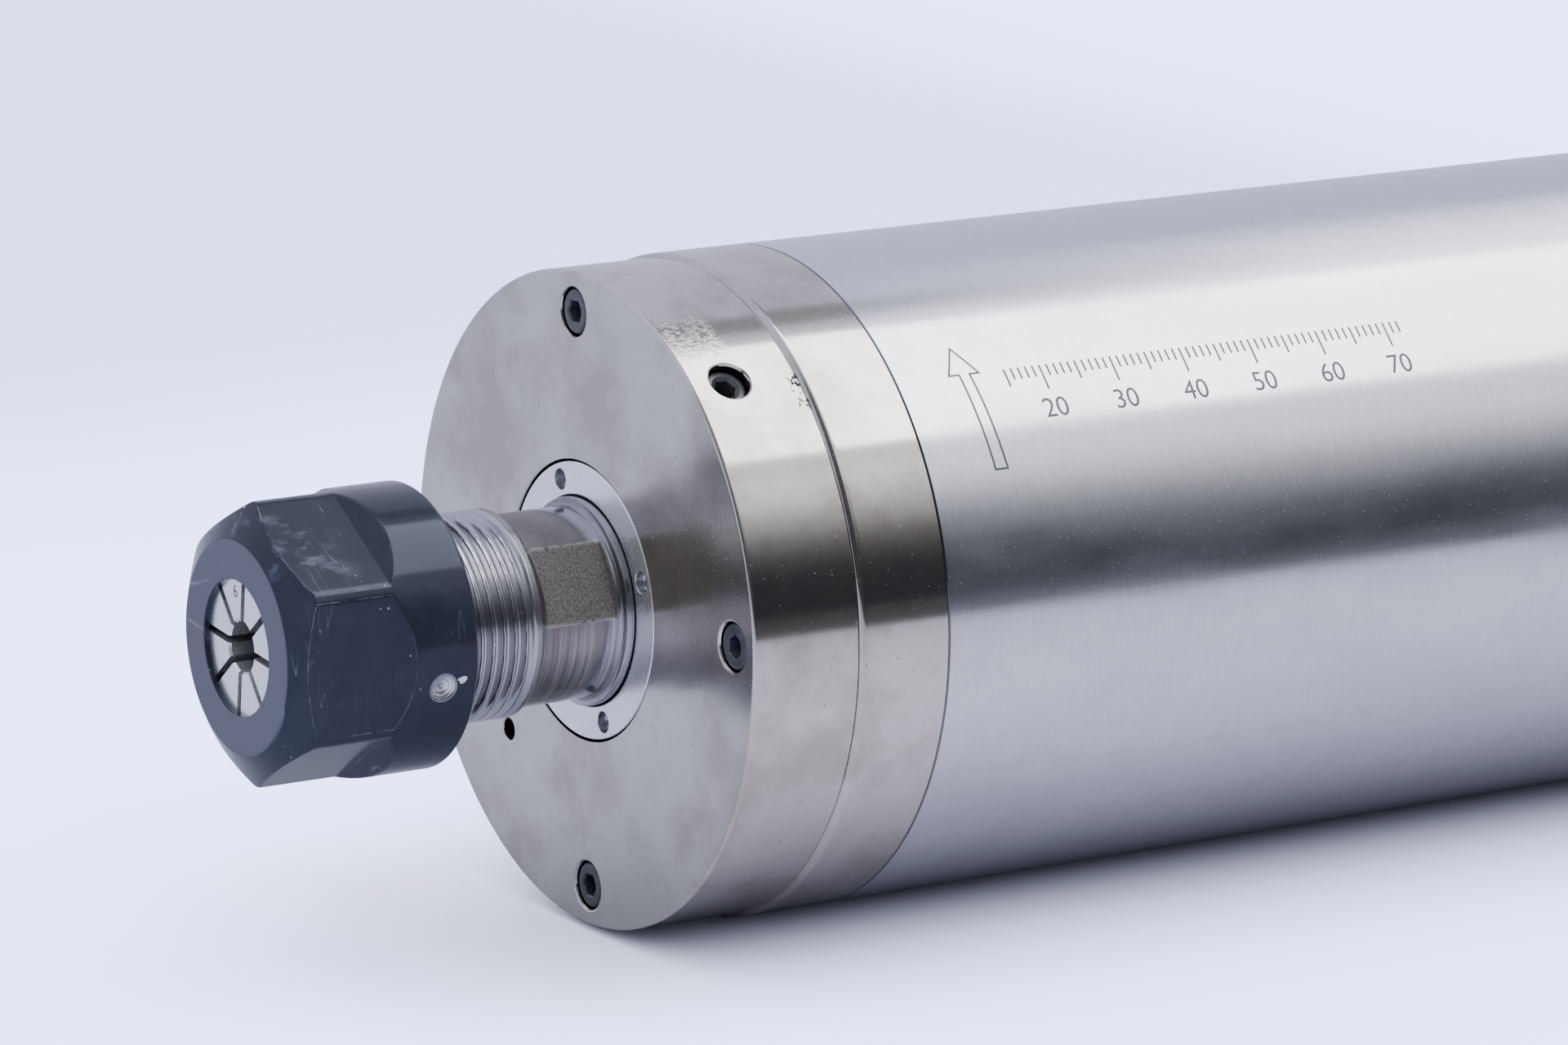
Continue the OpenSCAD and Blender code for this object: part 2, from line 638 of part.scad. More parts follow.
module rear_locknut() color("dimgray") lay() difference() {
    ring(rear_bore / 2 + seat_gap, rear_bore / 2 + 4, locknut_s, locknut_s + locknut_t);
    ring_of(4, rear_bore / 2 + 4) translate([-1.5, -1.5, locknut_s - slack]) cube([3, 3, locknut_t + 2 * slack]);
}

module collet() color("whitesmoke") lay() difference() {
    rotate_extrude() polygon([
        [collet_bore / 2 + 0.3, collet_s], [rim_d / 2 - 0.3, collet_s], [rim_d / 2, collet_s + 0.3],
        [rim_d / 2, collet_s + rim_w], [groove_d / 2, collet_s + rim_w], [groove_d / 2, cone_front_s],
        [cone_front_r, cone_front_s], [collet_d / 2, cone_rear_s], [taper_r(collet_end_s), collet_end_s],
        [collet_bore / 2 + 0.3, collet_end_s], [collet_bore / 2, collet_end_s - 0.3],
        [collet_bore / 2, collet_s + 0.3]]);
    ring_of(slits, 0, slit_turn) translate([0, -slit_w / 2, collet_s - slack])
        cube([collet_d, slit_w, collet_l - slit_web + slack]);
    ring_of(slits, 0, slit_turn + 180 / slits) translate([0, -rear_slit_w / 2, collet_end_s - rear_slit_l])
        cube([collet_d, rear_slit_w, collet_l]);
}

// Collet nut, with the ring that draws the collet out set off to one side
nut_s = collet_s - nut_lip_t - 0.1;
nut_end_s = nut_s + nut_l;
nut_cone_l = (nut_d - nut_face_d) / 2 * tan(30);
nut_bore_r = nose_d / 2 + run_gap;
extractor_front_s = collet_s + rim_w + 0.15;
extractor_rear_s = cone_front_s - 0.15;
extractor_r = groove_d / 2 + extractor_offset + 0.1;

module nut_flat() rotate([90, 0, 0]) translate([0, 0, -nut_d / 2]) linear_extrude(nut_d) polygon([
    [nut_af / 2, nut_s - slack], [nut_d, nut_s - slack],
    [nut_d, nut_s + nut_flat_l + nut_d - nut_af / 2], [nut_af / 2, nut_s + nut_flat_l]]);

module collet_nut() color("darkslateblue") lay() difference() {
    rotate_extrude() polygon([
        [0, nut_s], [nut_face_d / 2, nut_s], [nut_d / 2, nut_s + nut_cone_l],
        [nut_d / 2, nut_end_s - 0.4], [nut_d / 2 - 0.4, nut_end_s], [0, nut_end_s]]);
    ring_of(6, 0, nut_turn) nut_flat();
    bar(nut_mouth_d / 2, nut_s - slack, nut_s + nut_lip_t + slack);
    bar(rim_d / 2 + free_gap, nut_s + nut_lip_t, extractor_front_s);
    translate([extractor_offset, 0, 0]) bar(extractor_r, extractor_front_s - slack, extractor_rear_s + slack);
    rotate_extrude() polygon([
        [0, extractor_rear_s], [cone_front_r + run_gap, extractor_rear_s],
        [cone_front_r + run_gap, cone_front_s - run_gap],
        [collet_d / 2 + run_gap, cone_rear_s - run_gap], [collet_d / 2 + run_gap, nose_s - 0.4],
        [nut_bore_r, nose_s - 0.4], [nut_bore_r, nut_end_s - 0.5], [nut_bore_r + 0.6, nut_end_s + 0.1],
        [0, nut_end_s + 0.1]]);
    around(dimple_turn) translate([nut_d / 2 - 0.9, 0, dimple_s]) rotate([0, 90, 0])
        cylinder(h = 1, r1 = 0.2, r2 = dimple_d / 2);
}

// Rear housing: a hub with the rear bearings inside, a spigot in the jacket and one in the tube
port_r = jacket_in_r + 2;
port_hole_r = 1.6;
lead_r = 23.6;
lead_hole_r = 2.8;
cavity_r = 25.5;
hub_r = rear_od / 2 + 4.5;

module rear_housing() color("silver") lay() difference() {
    rotate_extrude() difference() {
        polygon([
            [rear_bore / 2 + 4.5, rear_hub_s], [hub_r, rear_hub_s], [hub_r, rear_step_s - 12],
            [jacket_spigot_r, rear_step_s - 12], [jacket_spigot_r, rear_step_s],
            [housing_spigot_r, rear_step_s], [housing_spigot_r, tube_end_s],
            [body_d / 2 - joint_bevel, tube_end_s], [body_d / 2, tube_end_s + joint_bevel],
            [body_d / 2, rear_joint_s], [rear_od / 2 + seat_gap, rear_joint_s],
            [rear_od / 2 + seat_gap, rear_hub_s + rear_wall_t],
            [rear_bore / 2 + 4.5, rear_hub_s + rear_wall_t]]);
        corner_waste([body_d / 2, rear_joint_s], flange_round, [1, 1]);
        seal_groove(jacket_spigot_r, rear_inner_seal_s);
        seal_groove(housing_spigot_r, rear_outer_seal_s);
    }
    for (side = [-1, 1]) around(90 + side * channel_pitch / 2, port_r)
        bar(port_hole_r, rear_step_s - 1, rear_joint_s + slack);
    around(-90, lead_r) bar(lead_hole_r, rear_hub_s, rear_joint_s + slack);
    ring_of(4, screw_pcd / 2, 45) bar(screw_d / 2 + seat_gap, rear_joint_s - screw_grip, rear_joint_s + slack);
}

// Preload spring: a flat washer bent into three waves, as one closed band
wave_t = 0.35;
wave_n = 72;
wave_r_in = rear_bore / 2 + 5;
wave_r_out = rear_od / 2 - 0.5;
wave_mid_s = rear_hub_s + rear_wall_t + spring_room / 2;
wave_h = (spring_room - wave_t) / 2 - 0.02;
function wave_s(i) = wave_mid_s + wave_h * sin(3 * i * 360 / wave_n);
function wave_point(r, i, ds) = [r * cos(i * 360 / wave_n), r * sin(i * 360 / wave_n), wave_s(i) + ds];

module preload_spring() color("steelblue") lay() polyhedron(
    points = [for (i = [0 : wave_n - 1]) each [
        wave_point(wave_r_in, i, -wave_t / 2), wave_point(wave_r_out, i, -wave_t / 2),
        wave_point(wave_r_out, i, wave_t / 2), wave_point(wave_r_in, i, wave_t / 2)]],
    faces = [for (i = [0 : wave_n - 1], k = [0 : 3])
        let (a = 4 * i, b = 4 * ((i + 1) % wave_n), m = (k + 1) % 4)
        each [[a + k, b + k, a + m], [b + k, b + m, a + m]]]);

// Galleries in the rear cover lead the water from the fittings to the housing's ports
gallery_in_r = fitting_r - 2;
gallery_out_r = port_r + port_hole_r + 0.4;
gallery_h = 3;

module gallery(s0, s1) for (side = [-1, 1])
    let (a = 90 + side * (channel_pitch / 2 - 3), b = 90 + side * (fitting_turn + 4))
        sector(gallery_in_r, gallery_out_r, min(a, b), max(a, b), s0, s1);

module rear_gasket() color("darkgreen") lay() difference() {
    ring(cavity_r, cover_r - 0.5, rear_joint_s, rear_cover_s);
    for (side = [-1, 1]) around(90 + side * channel_pitch / 2, port_r)
        bar(port_hole_r, rear_joint_s - slack, rear_cover_s + slack);
    ring_of(4, screw_pcd / 2, 45) bar(screw_d / 2 + 0.1, rear_joint_s - slack, rear_cover_s + slack);
    around(-90, lead_r) bar(lead_hole_r, rear_joint_s - slack, rear_cover_s + slack);
}

fitting_thread_r = 4.8;
end_plate_s = rear_cover_s + 7;

module at_fittings() for (side = [-1, 1]) around(90 + side * fitting_turn, fitting_r) children();

module rear_cover() color("silver") lay() difference() {
    rotate_extrude() difference() {
        translate([0, rear_cover_s]) square([cover_r, rear_cover_t]);
        translate([-slack, rear_cover_s - slack]) square([cavity_r + slack, end_plate_s - rear_cover_s + slack]);
        corner_waste([cover_r, rear_face_s], cover_round, [1, 1]);
    }
    gallery(rear_cover_s - slack, rear_cover_s + gallery_h);
    at_fittings() {
        bar(fitting_thread_r, rear_cover_s + gallery_h + 1, rear_face_s + slack);
        bar(1.6, rear_cover_s + gallery_h - 0.5, rear_face_s);
    }
    around(-90, socket_r) bar(socket_d / 2 + seat_gap, end_plate_s - slack, rear_face_s + slack);
    ring_of(4, screw_pcd / 2, 45) {
        bar(screw_d / 2 + 0.1, rear_cover_s - slack, rear_face_s + slack);
        bar(screw_head_d / 2 + 0.2, rear_face_s - screw_under_s, rear_face_s + slack);
        translate([0, 0, rear_face_s - counterbore_bevel]) cylinder(h = slack + counterbore_bevel,
            r1 = screw_head_d / 2 + 0.2, r2 = screw_head_d / 2 + 0.2 + counterbore_bevel + slack);
    }
}

module rear_cover_screws() color("dimgray") lay()
    ring_of(4, screw_pcd / 2, 45) translate([0, 0, rear_face_s - screw_sink]) rotate([180, 0, 0])
        cap_screw(rear_cover_t + gasket_t - screw_under_s + screw_grip - 0.5);

// Power socket: a threaded shell with a flange, held from inside by a locknut
socket_flange_t = 2;
socket_end_face_s = rear_face_s + socket_flange_t + socket_l;
socket_in_r = socket_d / 2 - 1.3;
insert_s = end_plate_s - 3;
insert_end_s = rear_face_s + socket_flange_t + 1;

module socket_shell() color("gainsboro") lay() around(-90, socket_r) difference() {
    union() {
        bar(socket_d / 2, end_plate_s - 4.5, socket_end_face_s);
        bar(socket_d / 2 + 2.5, rear_face_s, rear_face_s + socket_flange_t);
    }
    bar(socket_in_r, end_plate_s - 5.5, socket_end_face_s + slack);
    translate([socket_in_r - 0.2, -0.9, insert_end_s]) cube([0.8, 1.8, socket_l]);
}

module socket_locknut() color("silver") lay() around(-90, socket_r) difference() {
    rotate([0, 0, 30]) hex_bar(19, end_plate_s - 3, end_plate_s);
    bar(socket_d / 2 + seat_gap, end_plate_s - 4, end_plate_s + slack);
}

contact_r = socket_in_r * 0.55;
module at_contacts() ring_of(contacts, contact_r) children();

module socket_insert() color("black") lay() around(-90, socket_r) difference() {
    bar(socket_in_r - seat_gap, insert_s, insert_end_s);
    at_contacts() bar(0.8 + seat_gap, insert_s - slack, insert_end_s + slack);
}

module socket_contacts() color("gold") lay() around(-90, socket_r) at_contacts() {
    bar(0.8, insert_s - 2, socket_end_face_s - 3.4);
    translate([0, 0, socket_end_face_s - 3.4]) cylinder(h = 0.4, r1 = 0.8, r2 = 0.4);
}

// Three leads run from the end turns through the rear housing to three of the contacts.
// Each is a row of straight stretches with a ball at every bend.
lead_wire_r = 0.8;
lead_bend_s = rear_cover_s + 0.3;

module stretch(a, b) let (v = b - a, l = norm(v))
    translate(a) rotate([0, acos(v.z / l), atan2(v.y, v.x)]) cylinder(r = lead_wire_r, h = l, $fn = 24);

module phase_leads() color("firebrick") lay() around(-90) for (i = [0 : 2]) {
    target = [0, 1, -1][i] * 360 / contacts;
    cup = [socket_r + contact_r * cos(target), contact_r * sin(target), insert_s - 2.05];
    hole = [lead_r + 1.5 * cos(180 - 120 * i), 1.5 * sin(180 - 120 * i), 0];
    bend = hole + [0, 0, lead_bend_s];
    stretch(hole + [0, 0, stack_end_s + turns_gap + turns_l], bend);
    translate(bend) sphere(r = lead_wire_r, $fn = 24);
    stretch(bend, cup - [0, 0, 0.8]);
}

// Water fittings with their washers and hose nuts
washer_t = 1;
fitting_hex_t = 5;
fitting_hex_s = rear_face_s + washer_t;
hose_thread_s = fitting_hex_s + fitting_hex_t;
hose_thread_l = 6;
nipple_s = hose_thread_s + hose_thread_l;
nipple_end_s = nipple_s + nipple_l;
hose_thread_r = 5;

module water_fittings() color("gainsboro") lay() at_fittings() difference() {
    union() {
        bar(fitting_thread_r - seat_gap, rear_cover_s + gallery_h + 1.5, fitting_hex_s + 0.5);
        hex_bar(fitting_af, fitting_hex_s, hose_thread_s);
        bar(hose_thread_r, hose_thread_s - 0.5, nipple_s);
        bar(nipple_d / 2, nipple_s - 0.5, nipple_end_s);
    }
    bar(nipple_d / 2 - 1, rear_cover_s, nipple_end_s + slack);
}

module fitting_washers() color("black") lay() at_fittings()
    ring(fitting_thread_r, fitting_af / 2, rear_face_s, fitting_hex_s);

module hose_nuts() color("gainsboro") lay() at_fittings() rotate_extrude() difference() {
    polygon([
        [hose_thread_r + seat_gap, hose_thread_s + 0.4], [hose_nut_d / 2 - 0.4, hose_thread_s + 0.4],
        [hose_nut_d / 2, hose_thread_s + 0.8], [hose_nut_d / 2, nipple_end_s - 3],
        [hose_nut_d / 2 - 1, nipple_end_s - 1.5], [hose_d / 2 + 0.25, nipple_end_s - 1.5],
        [hose_d / 2 + 0.25, nipple_s + 4.5], [hose_thread_r + seat_gap, nipple_s + 2]]);
    corner_waste([hose_d / 2 + 0.25, nipple_end_s - 1.5], 0.5, [-1, 1]);
}

body_tube();
front_housing();
front_cover();
front_cover_screws();
cover_port_plug();
front_outer_rings();
front_outer_spacer();
water_jacket();
jacket_seals();
stator_core();
stator_windings();
phase_leads();
rear_housing();
rear_outer_rings();
rear_outer_spacer();
preload_spring();
rear_gasket();
rear_cover();
rear_cover_screws();
socket_shell();
socket_locknut();
socket_insert();
socket_contacts();
water_fittings();
fitting_washers();
hose_nuts();
spindle_shaft();
ring_nut();
front_inner_rings();
front_inner_spacer();
rotor_core();
rotor_cage();
rear_inner_rings();
rear_inner_spacer();
rear_locknut();
front_ball_cages();
front_balls();
rear_ball_cages();
rear_balls();
collet();
collet_nut();
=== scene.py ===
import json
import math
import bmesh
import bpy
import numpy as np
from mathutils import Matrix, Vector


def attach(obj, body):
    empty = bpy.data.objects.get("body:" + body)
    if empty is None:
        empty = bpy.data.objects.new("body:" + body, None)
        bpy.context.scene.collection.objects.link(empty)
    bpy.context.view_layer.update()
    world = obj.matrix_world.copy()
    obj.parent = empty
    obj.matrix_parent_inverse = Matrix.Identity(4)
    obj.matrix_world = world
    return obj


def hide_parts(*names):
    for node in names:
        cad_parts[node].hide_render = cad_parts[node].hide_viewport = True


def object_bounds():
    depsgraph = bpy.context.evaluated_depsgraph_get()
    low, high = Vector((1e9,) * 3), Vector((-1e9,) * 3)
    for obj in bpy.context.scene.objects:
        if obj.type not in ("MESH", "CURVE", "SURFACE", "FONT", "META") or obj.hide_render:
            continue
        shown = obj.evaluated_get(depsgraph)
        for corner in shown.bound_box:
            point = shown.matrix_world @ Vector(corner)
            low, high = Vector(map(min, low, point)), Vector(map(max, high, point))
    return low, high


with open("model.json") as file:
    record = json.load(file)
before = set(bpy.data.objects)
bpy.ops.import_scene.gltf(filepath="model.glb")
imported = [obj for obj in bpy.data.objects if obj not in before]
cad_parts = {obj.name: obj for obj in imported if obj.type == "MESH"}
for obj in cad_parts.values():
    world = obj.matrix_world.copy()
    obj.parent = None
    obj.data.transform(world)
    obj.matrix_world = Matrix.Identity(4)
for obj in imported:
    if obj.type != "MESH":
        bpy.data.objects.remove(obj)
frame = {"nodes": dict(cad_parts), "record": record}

# %% [markdown]
# # A motor spindle, finished from its construction model
# The construction model is loaded above and stays as it is: every turned and milled piece sits where
# it was drawn, in metres, with the spindle's axis along Y and the collet pointing to -Y. This script
# adds what a drawing leaves out: a cut thread, rounded and worn edges, knurls, engraved marks, the
# metals' grain and stains, and a small photo studio around it all.

cad_low, cad_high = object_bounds()
MM = 0.001
TAU = 2 * math.pi
print("construction model from", [round(v, 4) for v in cad_low], "to", [round(v, 4) for v in cad_high])

# %% [markdown]
# ## The camera
# The photograph was taken with a long lens from low and to the right of the nose. A camera fitted to
# the circles of the cover, the ring and the screws gives its place and lens, so the render can be
# laid over the photograph. Stations count in millimetres rearwards from the cover's face; the model's
# origin is where the front flange meets the tube, 26.2 mm behind that face.

# %% Camera
DATUM = 26.2


def into_scene(name, data):
    """A new object for some data, linked into the scene."""
    made = bpy.data.objects.new(name, data)
    bpy.context.scene.collection.objects.link(made)
    return made


camera_data = bpy.data.cameras.new("studio_camera")
camera_data.lens, camera_data.sensor_width = 167.258, 36.0
camera_data.clip_start, camera_data.clip_end = 0.05, 60.0
camera = into_scene("studio_camera", camera_data)
camera.location = (0.727798, -0.422046 - DATUM * MM, 0.194790)
camera.rotation_euler = (math.radians(77.574), 0.0, math.radians(58.2455))
bpy.context.scene.camera = camera
print("camera at", tuple(round(v, 3) for v in camera.location), "with a lens of", camera_data.lens, "mm")

# %% [markdown]
# ## Skins from formulas
# A turned piece is an outline carried around an axis: a grid whose rows are points of the outline and
# whose columns are angles. Where the radius may also depend on the angle, the same grid makes flats,
# hexagons, knurls and threads. Blender's Screw modifier could spin an outline too, but not one that
# changes with the angle. Several surfaces are gathered into one skin, and the skin becomes one mesh,
# so that a piece with holes in it is still a single closed surface.

# %% Gathering surfaces into one mesh
FINISHES = {}


def face_outwards(mesh):
    """Turns every face of a closed mesh to point away from its inside."""
    work = bmesh.new()
    work.from_mesh(mesh)
    bmesh.ops.recalc_face_normals(work, faces=work.faces)
    work.to_mesh(mesh)
    work.free()


class Skin:
    """Surfaces gathered into one closed skin: numbered points in millimetres and faces between them."""

    def __init__(self):
        self.points, self.faces, self.count = [], [], 0

    def add(self, points):
        """Stores points and returns their numbers in the same arrangement."""
        flat = np.asarray(points, float).reshape(-1, 3)
        numbers = self.count + np.arange(len(flat))
        self.points.append(flat)
        self.count += len(flat)
        return numbers.reshape(np.shape(points)[:-1])

    def sheet(self, ids, keep=None):
        """Quads between the rows of a grid of numbers, closing around the columns."""
        beside = np.roll(ids, -1, 1)
        quads = np.stack([ids[:-1], beside[:-1], beside[1:], ids[1:]], -1)
        self.faces.append(quads.reshape(-1, 4) if keep is None else quads[keep])

    def fan(self, ring, centre):
        """Triangles from a closed ring of numbers to one point."""
        tip = self.add([centre])[0]
        self.faces.append(np.stack([ring, np.roll(ring, -1), np.full(len(ring), tip)], -1))

    def piece(self, name, body, slot, stands_for=None, crease=28.0, finish=None):
        """Turns the skin into an object at the origin that rides on a body, in its slot's finish. Edges
        that bend by more than crease degrees stay sharp."""
        corners = np.concatenate([f.ravel() for f in self.faces])
        sizes = np.concatenate([np.full(len(f), f.shape[1]) for f in self.faces])
        used, corners = np.unique(corners, return_inverse=True)
        points = np.concatenate(self.points)[used] * MM
        mesh = bpy.data.meshes.new(name)
        mesh.vertices.add(len(points))
        mesh.vertices.foreach_set("co", points.ravel())
        mesh.loops.add(len(corners))
        mesh.loops.foreach_set("vertex_index", corners.ravel())
        mesh.polygons.add(len(sizes))
        mesh.polygons.foreach_set("loop_start", np.cumsum(sizes) - sizes)
        mesh.update(calc_edges=True)
        face_outwards(mesh)
        mesh.polygons.foreach_set("use_smooth", np.ones(len(sizes), bool))
        mesh.set_sharp_from_angle(angle=math.radians(crease))
        mesh.materials.append(FINISHES[finish or slot])
        made = into_scene(name, mesh)
        if stands_for:
            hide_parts(stands_for)
        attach(made, body)
        print(name, "has", int((sizes - 2).sum()), "triangles and rides on", body)


print("a skin holds points, quads and fans, and turns into one piece")

# %% [markdown]
# ## Outlines with rounded corners
# No real edge is perfectly sharp, and a small rounding is what catches the light. A Bevel modifier
# would round every edge of the mesh alike, so the rounding is part of the outline instead: each of its
# corners says how round it is, and how finely the run after it is divided.

# %% Outlines
ARC_STEPS, BESIDE_ARC = 7, 0.05


def unit(vector):
    """A vector divided by its own length."""
    return vector / np.linalg.norm(vector)


def outline(corners):
    """A closed (r, s) outline from corners (r, s) or (r, s, rounding, step).

    A rounded corner becomes an arc of seven steps between the points rounding / tan(half the corner's
    angle) away from it, with one more point just beyond each end that keeps the flats beside it flat.
    The run after a corner is divided into steps of about its step, or not at all if that is 0."""
    corners = [(*corner, 0, 0)[:4] for corner in corners]
    xy = np.array(corners, float)[:, :2]
    knots = []
    for k, (_, _, rounding, _) in enumerate(corners):
        here = xy[k]
        back, ahead = unit(xy[k - 1] - here), unit(xy[(k + 1) % len(xy)] - here)
        if not rounding:
            knots.append(here[None])
            continue
        half = math.acos(np.clip(back @ ahead, -1, 1)) / 2
        away = rounding / math.tan(half)
        centre = here + unit(back + ahead) * rounding / math.sin(half)
        first, last = here + back * away - centre, here + ahead * away - centre
        sweep = math.acos(np.clip(unit(first) @ unit(last), -1, 1))
        share = np.linspace(0, 1, ARC_STEPS + 1)[:, None]
        arc = centre + (first * np.sin((1 - share) * sweep) + last * np.sin(share * sweep)) / math.sin(sweep)
        knots.append(np.vstack([here + back * (away + BESIDE_ARC), arc, here + ahead * (away + BESIDE_ARC)]))
    rows = []
    for k, knot in enumerate(knots):
        rows.append(knot)
        start, end, step = knot[-1], knots[(k + 1) % len(knots)][0], corners[k][3]
        parts = max(int(round(np.linalg.norm(end - start) / step)), 1) if step else 1
        rows.append(start + (end - start) * (np.arange(1, parts) / parts)[:, None])
    return np.vstack(rows)


sample = outline([(1, 0, 0.2, 0), (2, 0), (2, 1), (1, 1)])
print("a square with one rounded corner has", len(sample), "outline points")

# %% [markdown]
# ## Carrying an outline around an axis
# Turning is one formula for the whole grid at once: numpy multiplies every radius by the cosine and
# sine of every angle, so there is no loop over points. An outline that is a closed loop makes a ring;
# one that begins and ends on the axis is closed there by a fan of triangles.

# %% Turning
X_WAY, Y_WAY, Z_WAY = np.eye(3)
MAIN_AXIS = (-DATUM * Y_WAY, X_WAY, Z_WAY, Y_WAY)


def even_angles(count):
    """Angles in radians spread evenly around a full turn."""
    return np.arange(count) * TAU / count


def around(turn, r, s):
    """The point at an angle, radius and station, and the outward and sideways directions there."""
    a = math.radians(turn)
    out, side = np.array([math.cos(a), 0, math.sin(a)]), np.array([-math.sin(a), 0, math.cos(a)])
    return out * r + np.array([0, s - DATUM, 0]), out, side


def spin(skin, radii, stations, angles, axis=MAIN_AXIS, closed=True, holes=()):
    """Points at origin + r (cos a) U + r (sin a) V + s W for each row and angle, joined into a surface.

    radii is (rows,) or (rows, columns). A closed outline joins its last row to its first; an open one
    begins and ends on the axis itself. Each hole is what cut_hole takes, from its turn on."""
    origin, u, v, w = axis
    radii, stations = np.asarray(radii, float), np.asarray(stations, float)
    wide = np.repeat(radii[:, None], len(angles), 1) if radii.ndim == 1 else radii
    flat = np.cos(angles)[:, None] * u + np.sin(angles)[:, None] * v
    points = origin + wide[:, :, None] * flat + stations[:, None, None] * w
    ids = skin.add(points)
    if closed:
        ids = np.vstack([ids, ids[:1]])
    else:
        skin.fan(ids[0], origin + stations[0] * w)
        skin.fan(ids[-1], origin + stations[-1] * w)
    keep = np.ones((len(ids) - 1, len(angles)), bool)
    for hole in holes:
        cut_hole(skin, (points, ids, keep), (radii, stations), angles, *hole)
    skin.sheet(ids, keep)


print("the spindle's axis runs through", MAIN_AXIS[0], "along", MAIN_AXIS[3])

# %% [markdown]
# ## Round holes in turned faces
# A hole doesn't need a boolean, which would leave long thin faces that shade badly. A block of the
# grid's cells is left out instead, and rings of points lead from the block's edge to the round rim,
# over its bevel, down the wall and across the floor.

# %% Round holes
MARGIN, SAME = 0.45, 1e-6


def cut_hole(skin, grid, rows_at, angles, turn, r, s, steps, inward=0):
    """Leaves a block of cells out of a turned surface and leads rings down a round hole instead.

    steps holds (radius, depth) pairs in millimetres and ends at the hole's floor. inward is +1 or -1
    for a hole along the axis in a flat face, and 0 for one towards the axis in the round side, where
    each ring also follows the cylinder: depth + R - sqrt(R^2 - u^2)."""
    (points, ids, keep), (radii, stations) = grid, rows_at
    place, out, side = around(turn, r, s)
    reach = steps[0][0] + MARGIN
    if inward:
        along = (np.abs(stations - s) < SAME) & (np.abs(radii - r) < reach)
        u, v, w = X_WAY, Z_WAY, inward * Y_WAY
    else:
        along = (np.abs(radii - r) < SAME) & (np.abs(stations - s) < reach)
        u, v, w = side, Y_WAY, -out
    off = (angles - math.radians(turn) + math.pi) % TAU - math.pi
    rows = np.flatnonzero(along)
    cols = np.flatnonzero(np.abs(off) * r < reach)
    cols = cols[np.argsort(off[cols])]
    keep[rows[:-1, None], cols[None, :-1]] = False
    block, spots = ids[np.ix_(rows, cols)], points[np.ix_(rows, cols)]
    loop, edge = (np.concatenate([b[0, :-1], b[:-1, -1], b[-1, :0:-1], b[:0:-1, 0]]) for b in (block, spots))
    phase = np.arctan2((edge - place) @ v, (edge - place) @ u)
    radius, depth = np.array(steps, float).T
    across, along_v = radius[:, None] * np.cos(phase), radius[:, None] * np.sin(phase)
    sag = np.zeros_like(across) if inward else r - np.sqrt(r * r - across ** 2)
    rings = place + across[..., None] * u + along_v[..., None] * v + (depth[:, None] + sag)[..., None] * w
    numbers = skin.add(rings)
    skin.sheet(np.vstack([loop[None], numbers]))
    skin.fan(numbers[-1], place + depth[-1] * w)


def bevelled(radius, depth, bevel):
    """Steps of a plain round hole: a support ring, a two-step bevel, the wall and the floor."""
    return [(radius + bevel + 0.12, 0), (radius + bevel, 0), (radius + bevel * 0.35, bevel * 0.35),
            (radius, bevel), (radius, bevel + 0.06), (radius, depth - 0.05), (radius, depth),
            (radius - 0.05, depth), (radius * 0.5, depth)]


print("a plain hole is led down in", len(bevelled(1.0, 1.0, 0.1)), "rings")

# %% [markdown]
# ## Materials as sums
# A material is a net of nodes: textures give numbers, Math nodes combine them, and the Principled
# shader takes the results. Every node is added in the same steps: make it, set its settings, then link
# or fill its inputs. Two small functions do that, so the recipes below hold only what differs.

# %% Node helpers
def feed(node, inputs):
    """Links wires to a node's inputs, and sets the inputs that get a plain number or colour."""
    for label, value in inputs.items():
        if isinstance(value, Wire):
            value.tree.links.new(value.socket, node.inputs[label])
        else:
            node.inputs[label].default_value = value


def put(tree, kind, inputs, output=0, **settings):
    """Adds one node with its settings and inputs, and returns a wire from one of its outputs."""
    node = tree.nodes.new("ShaderNode" + kind)
    for label, value in settings.items():
        setattr(node, label, value)
    feed(node, inputs)
    return Wire(tree, node.outputs[output])


print("nodes are added by put and fed by feed")

# %% [markdown]
# ## Nodes written as formulas
# Link by link, a net of nodes hides its own formula. So a node's output is wrapped in a small class
# whose signs and words each add the next node: `a * b + c` adds a Multiply and an Add node, and
# `colour.painted(mask, tone)` adds a Mix node.


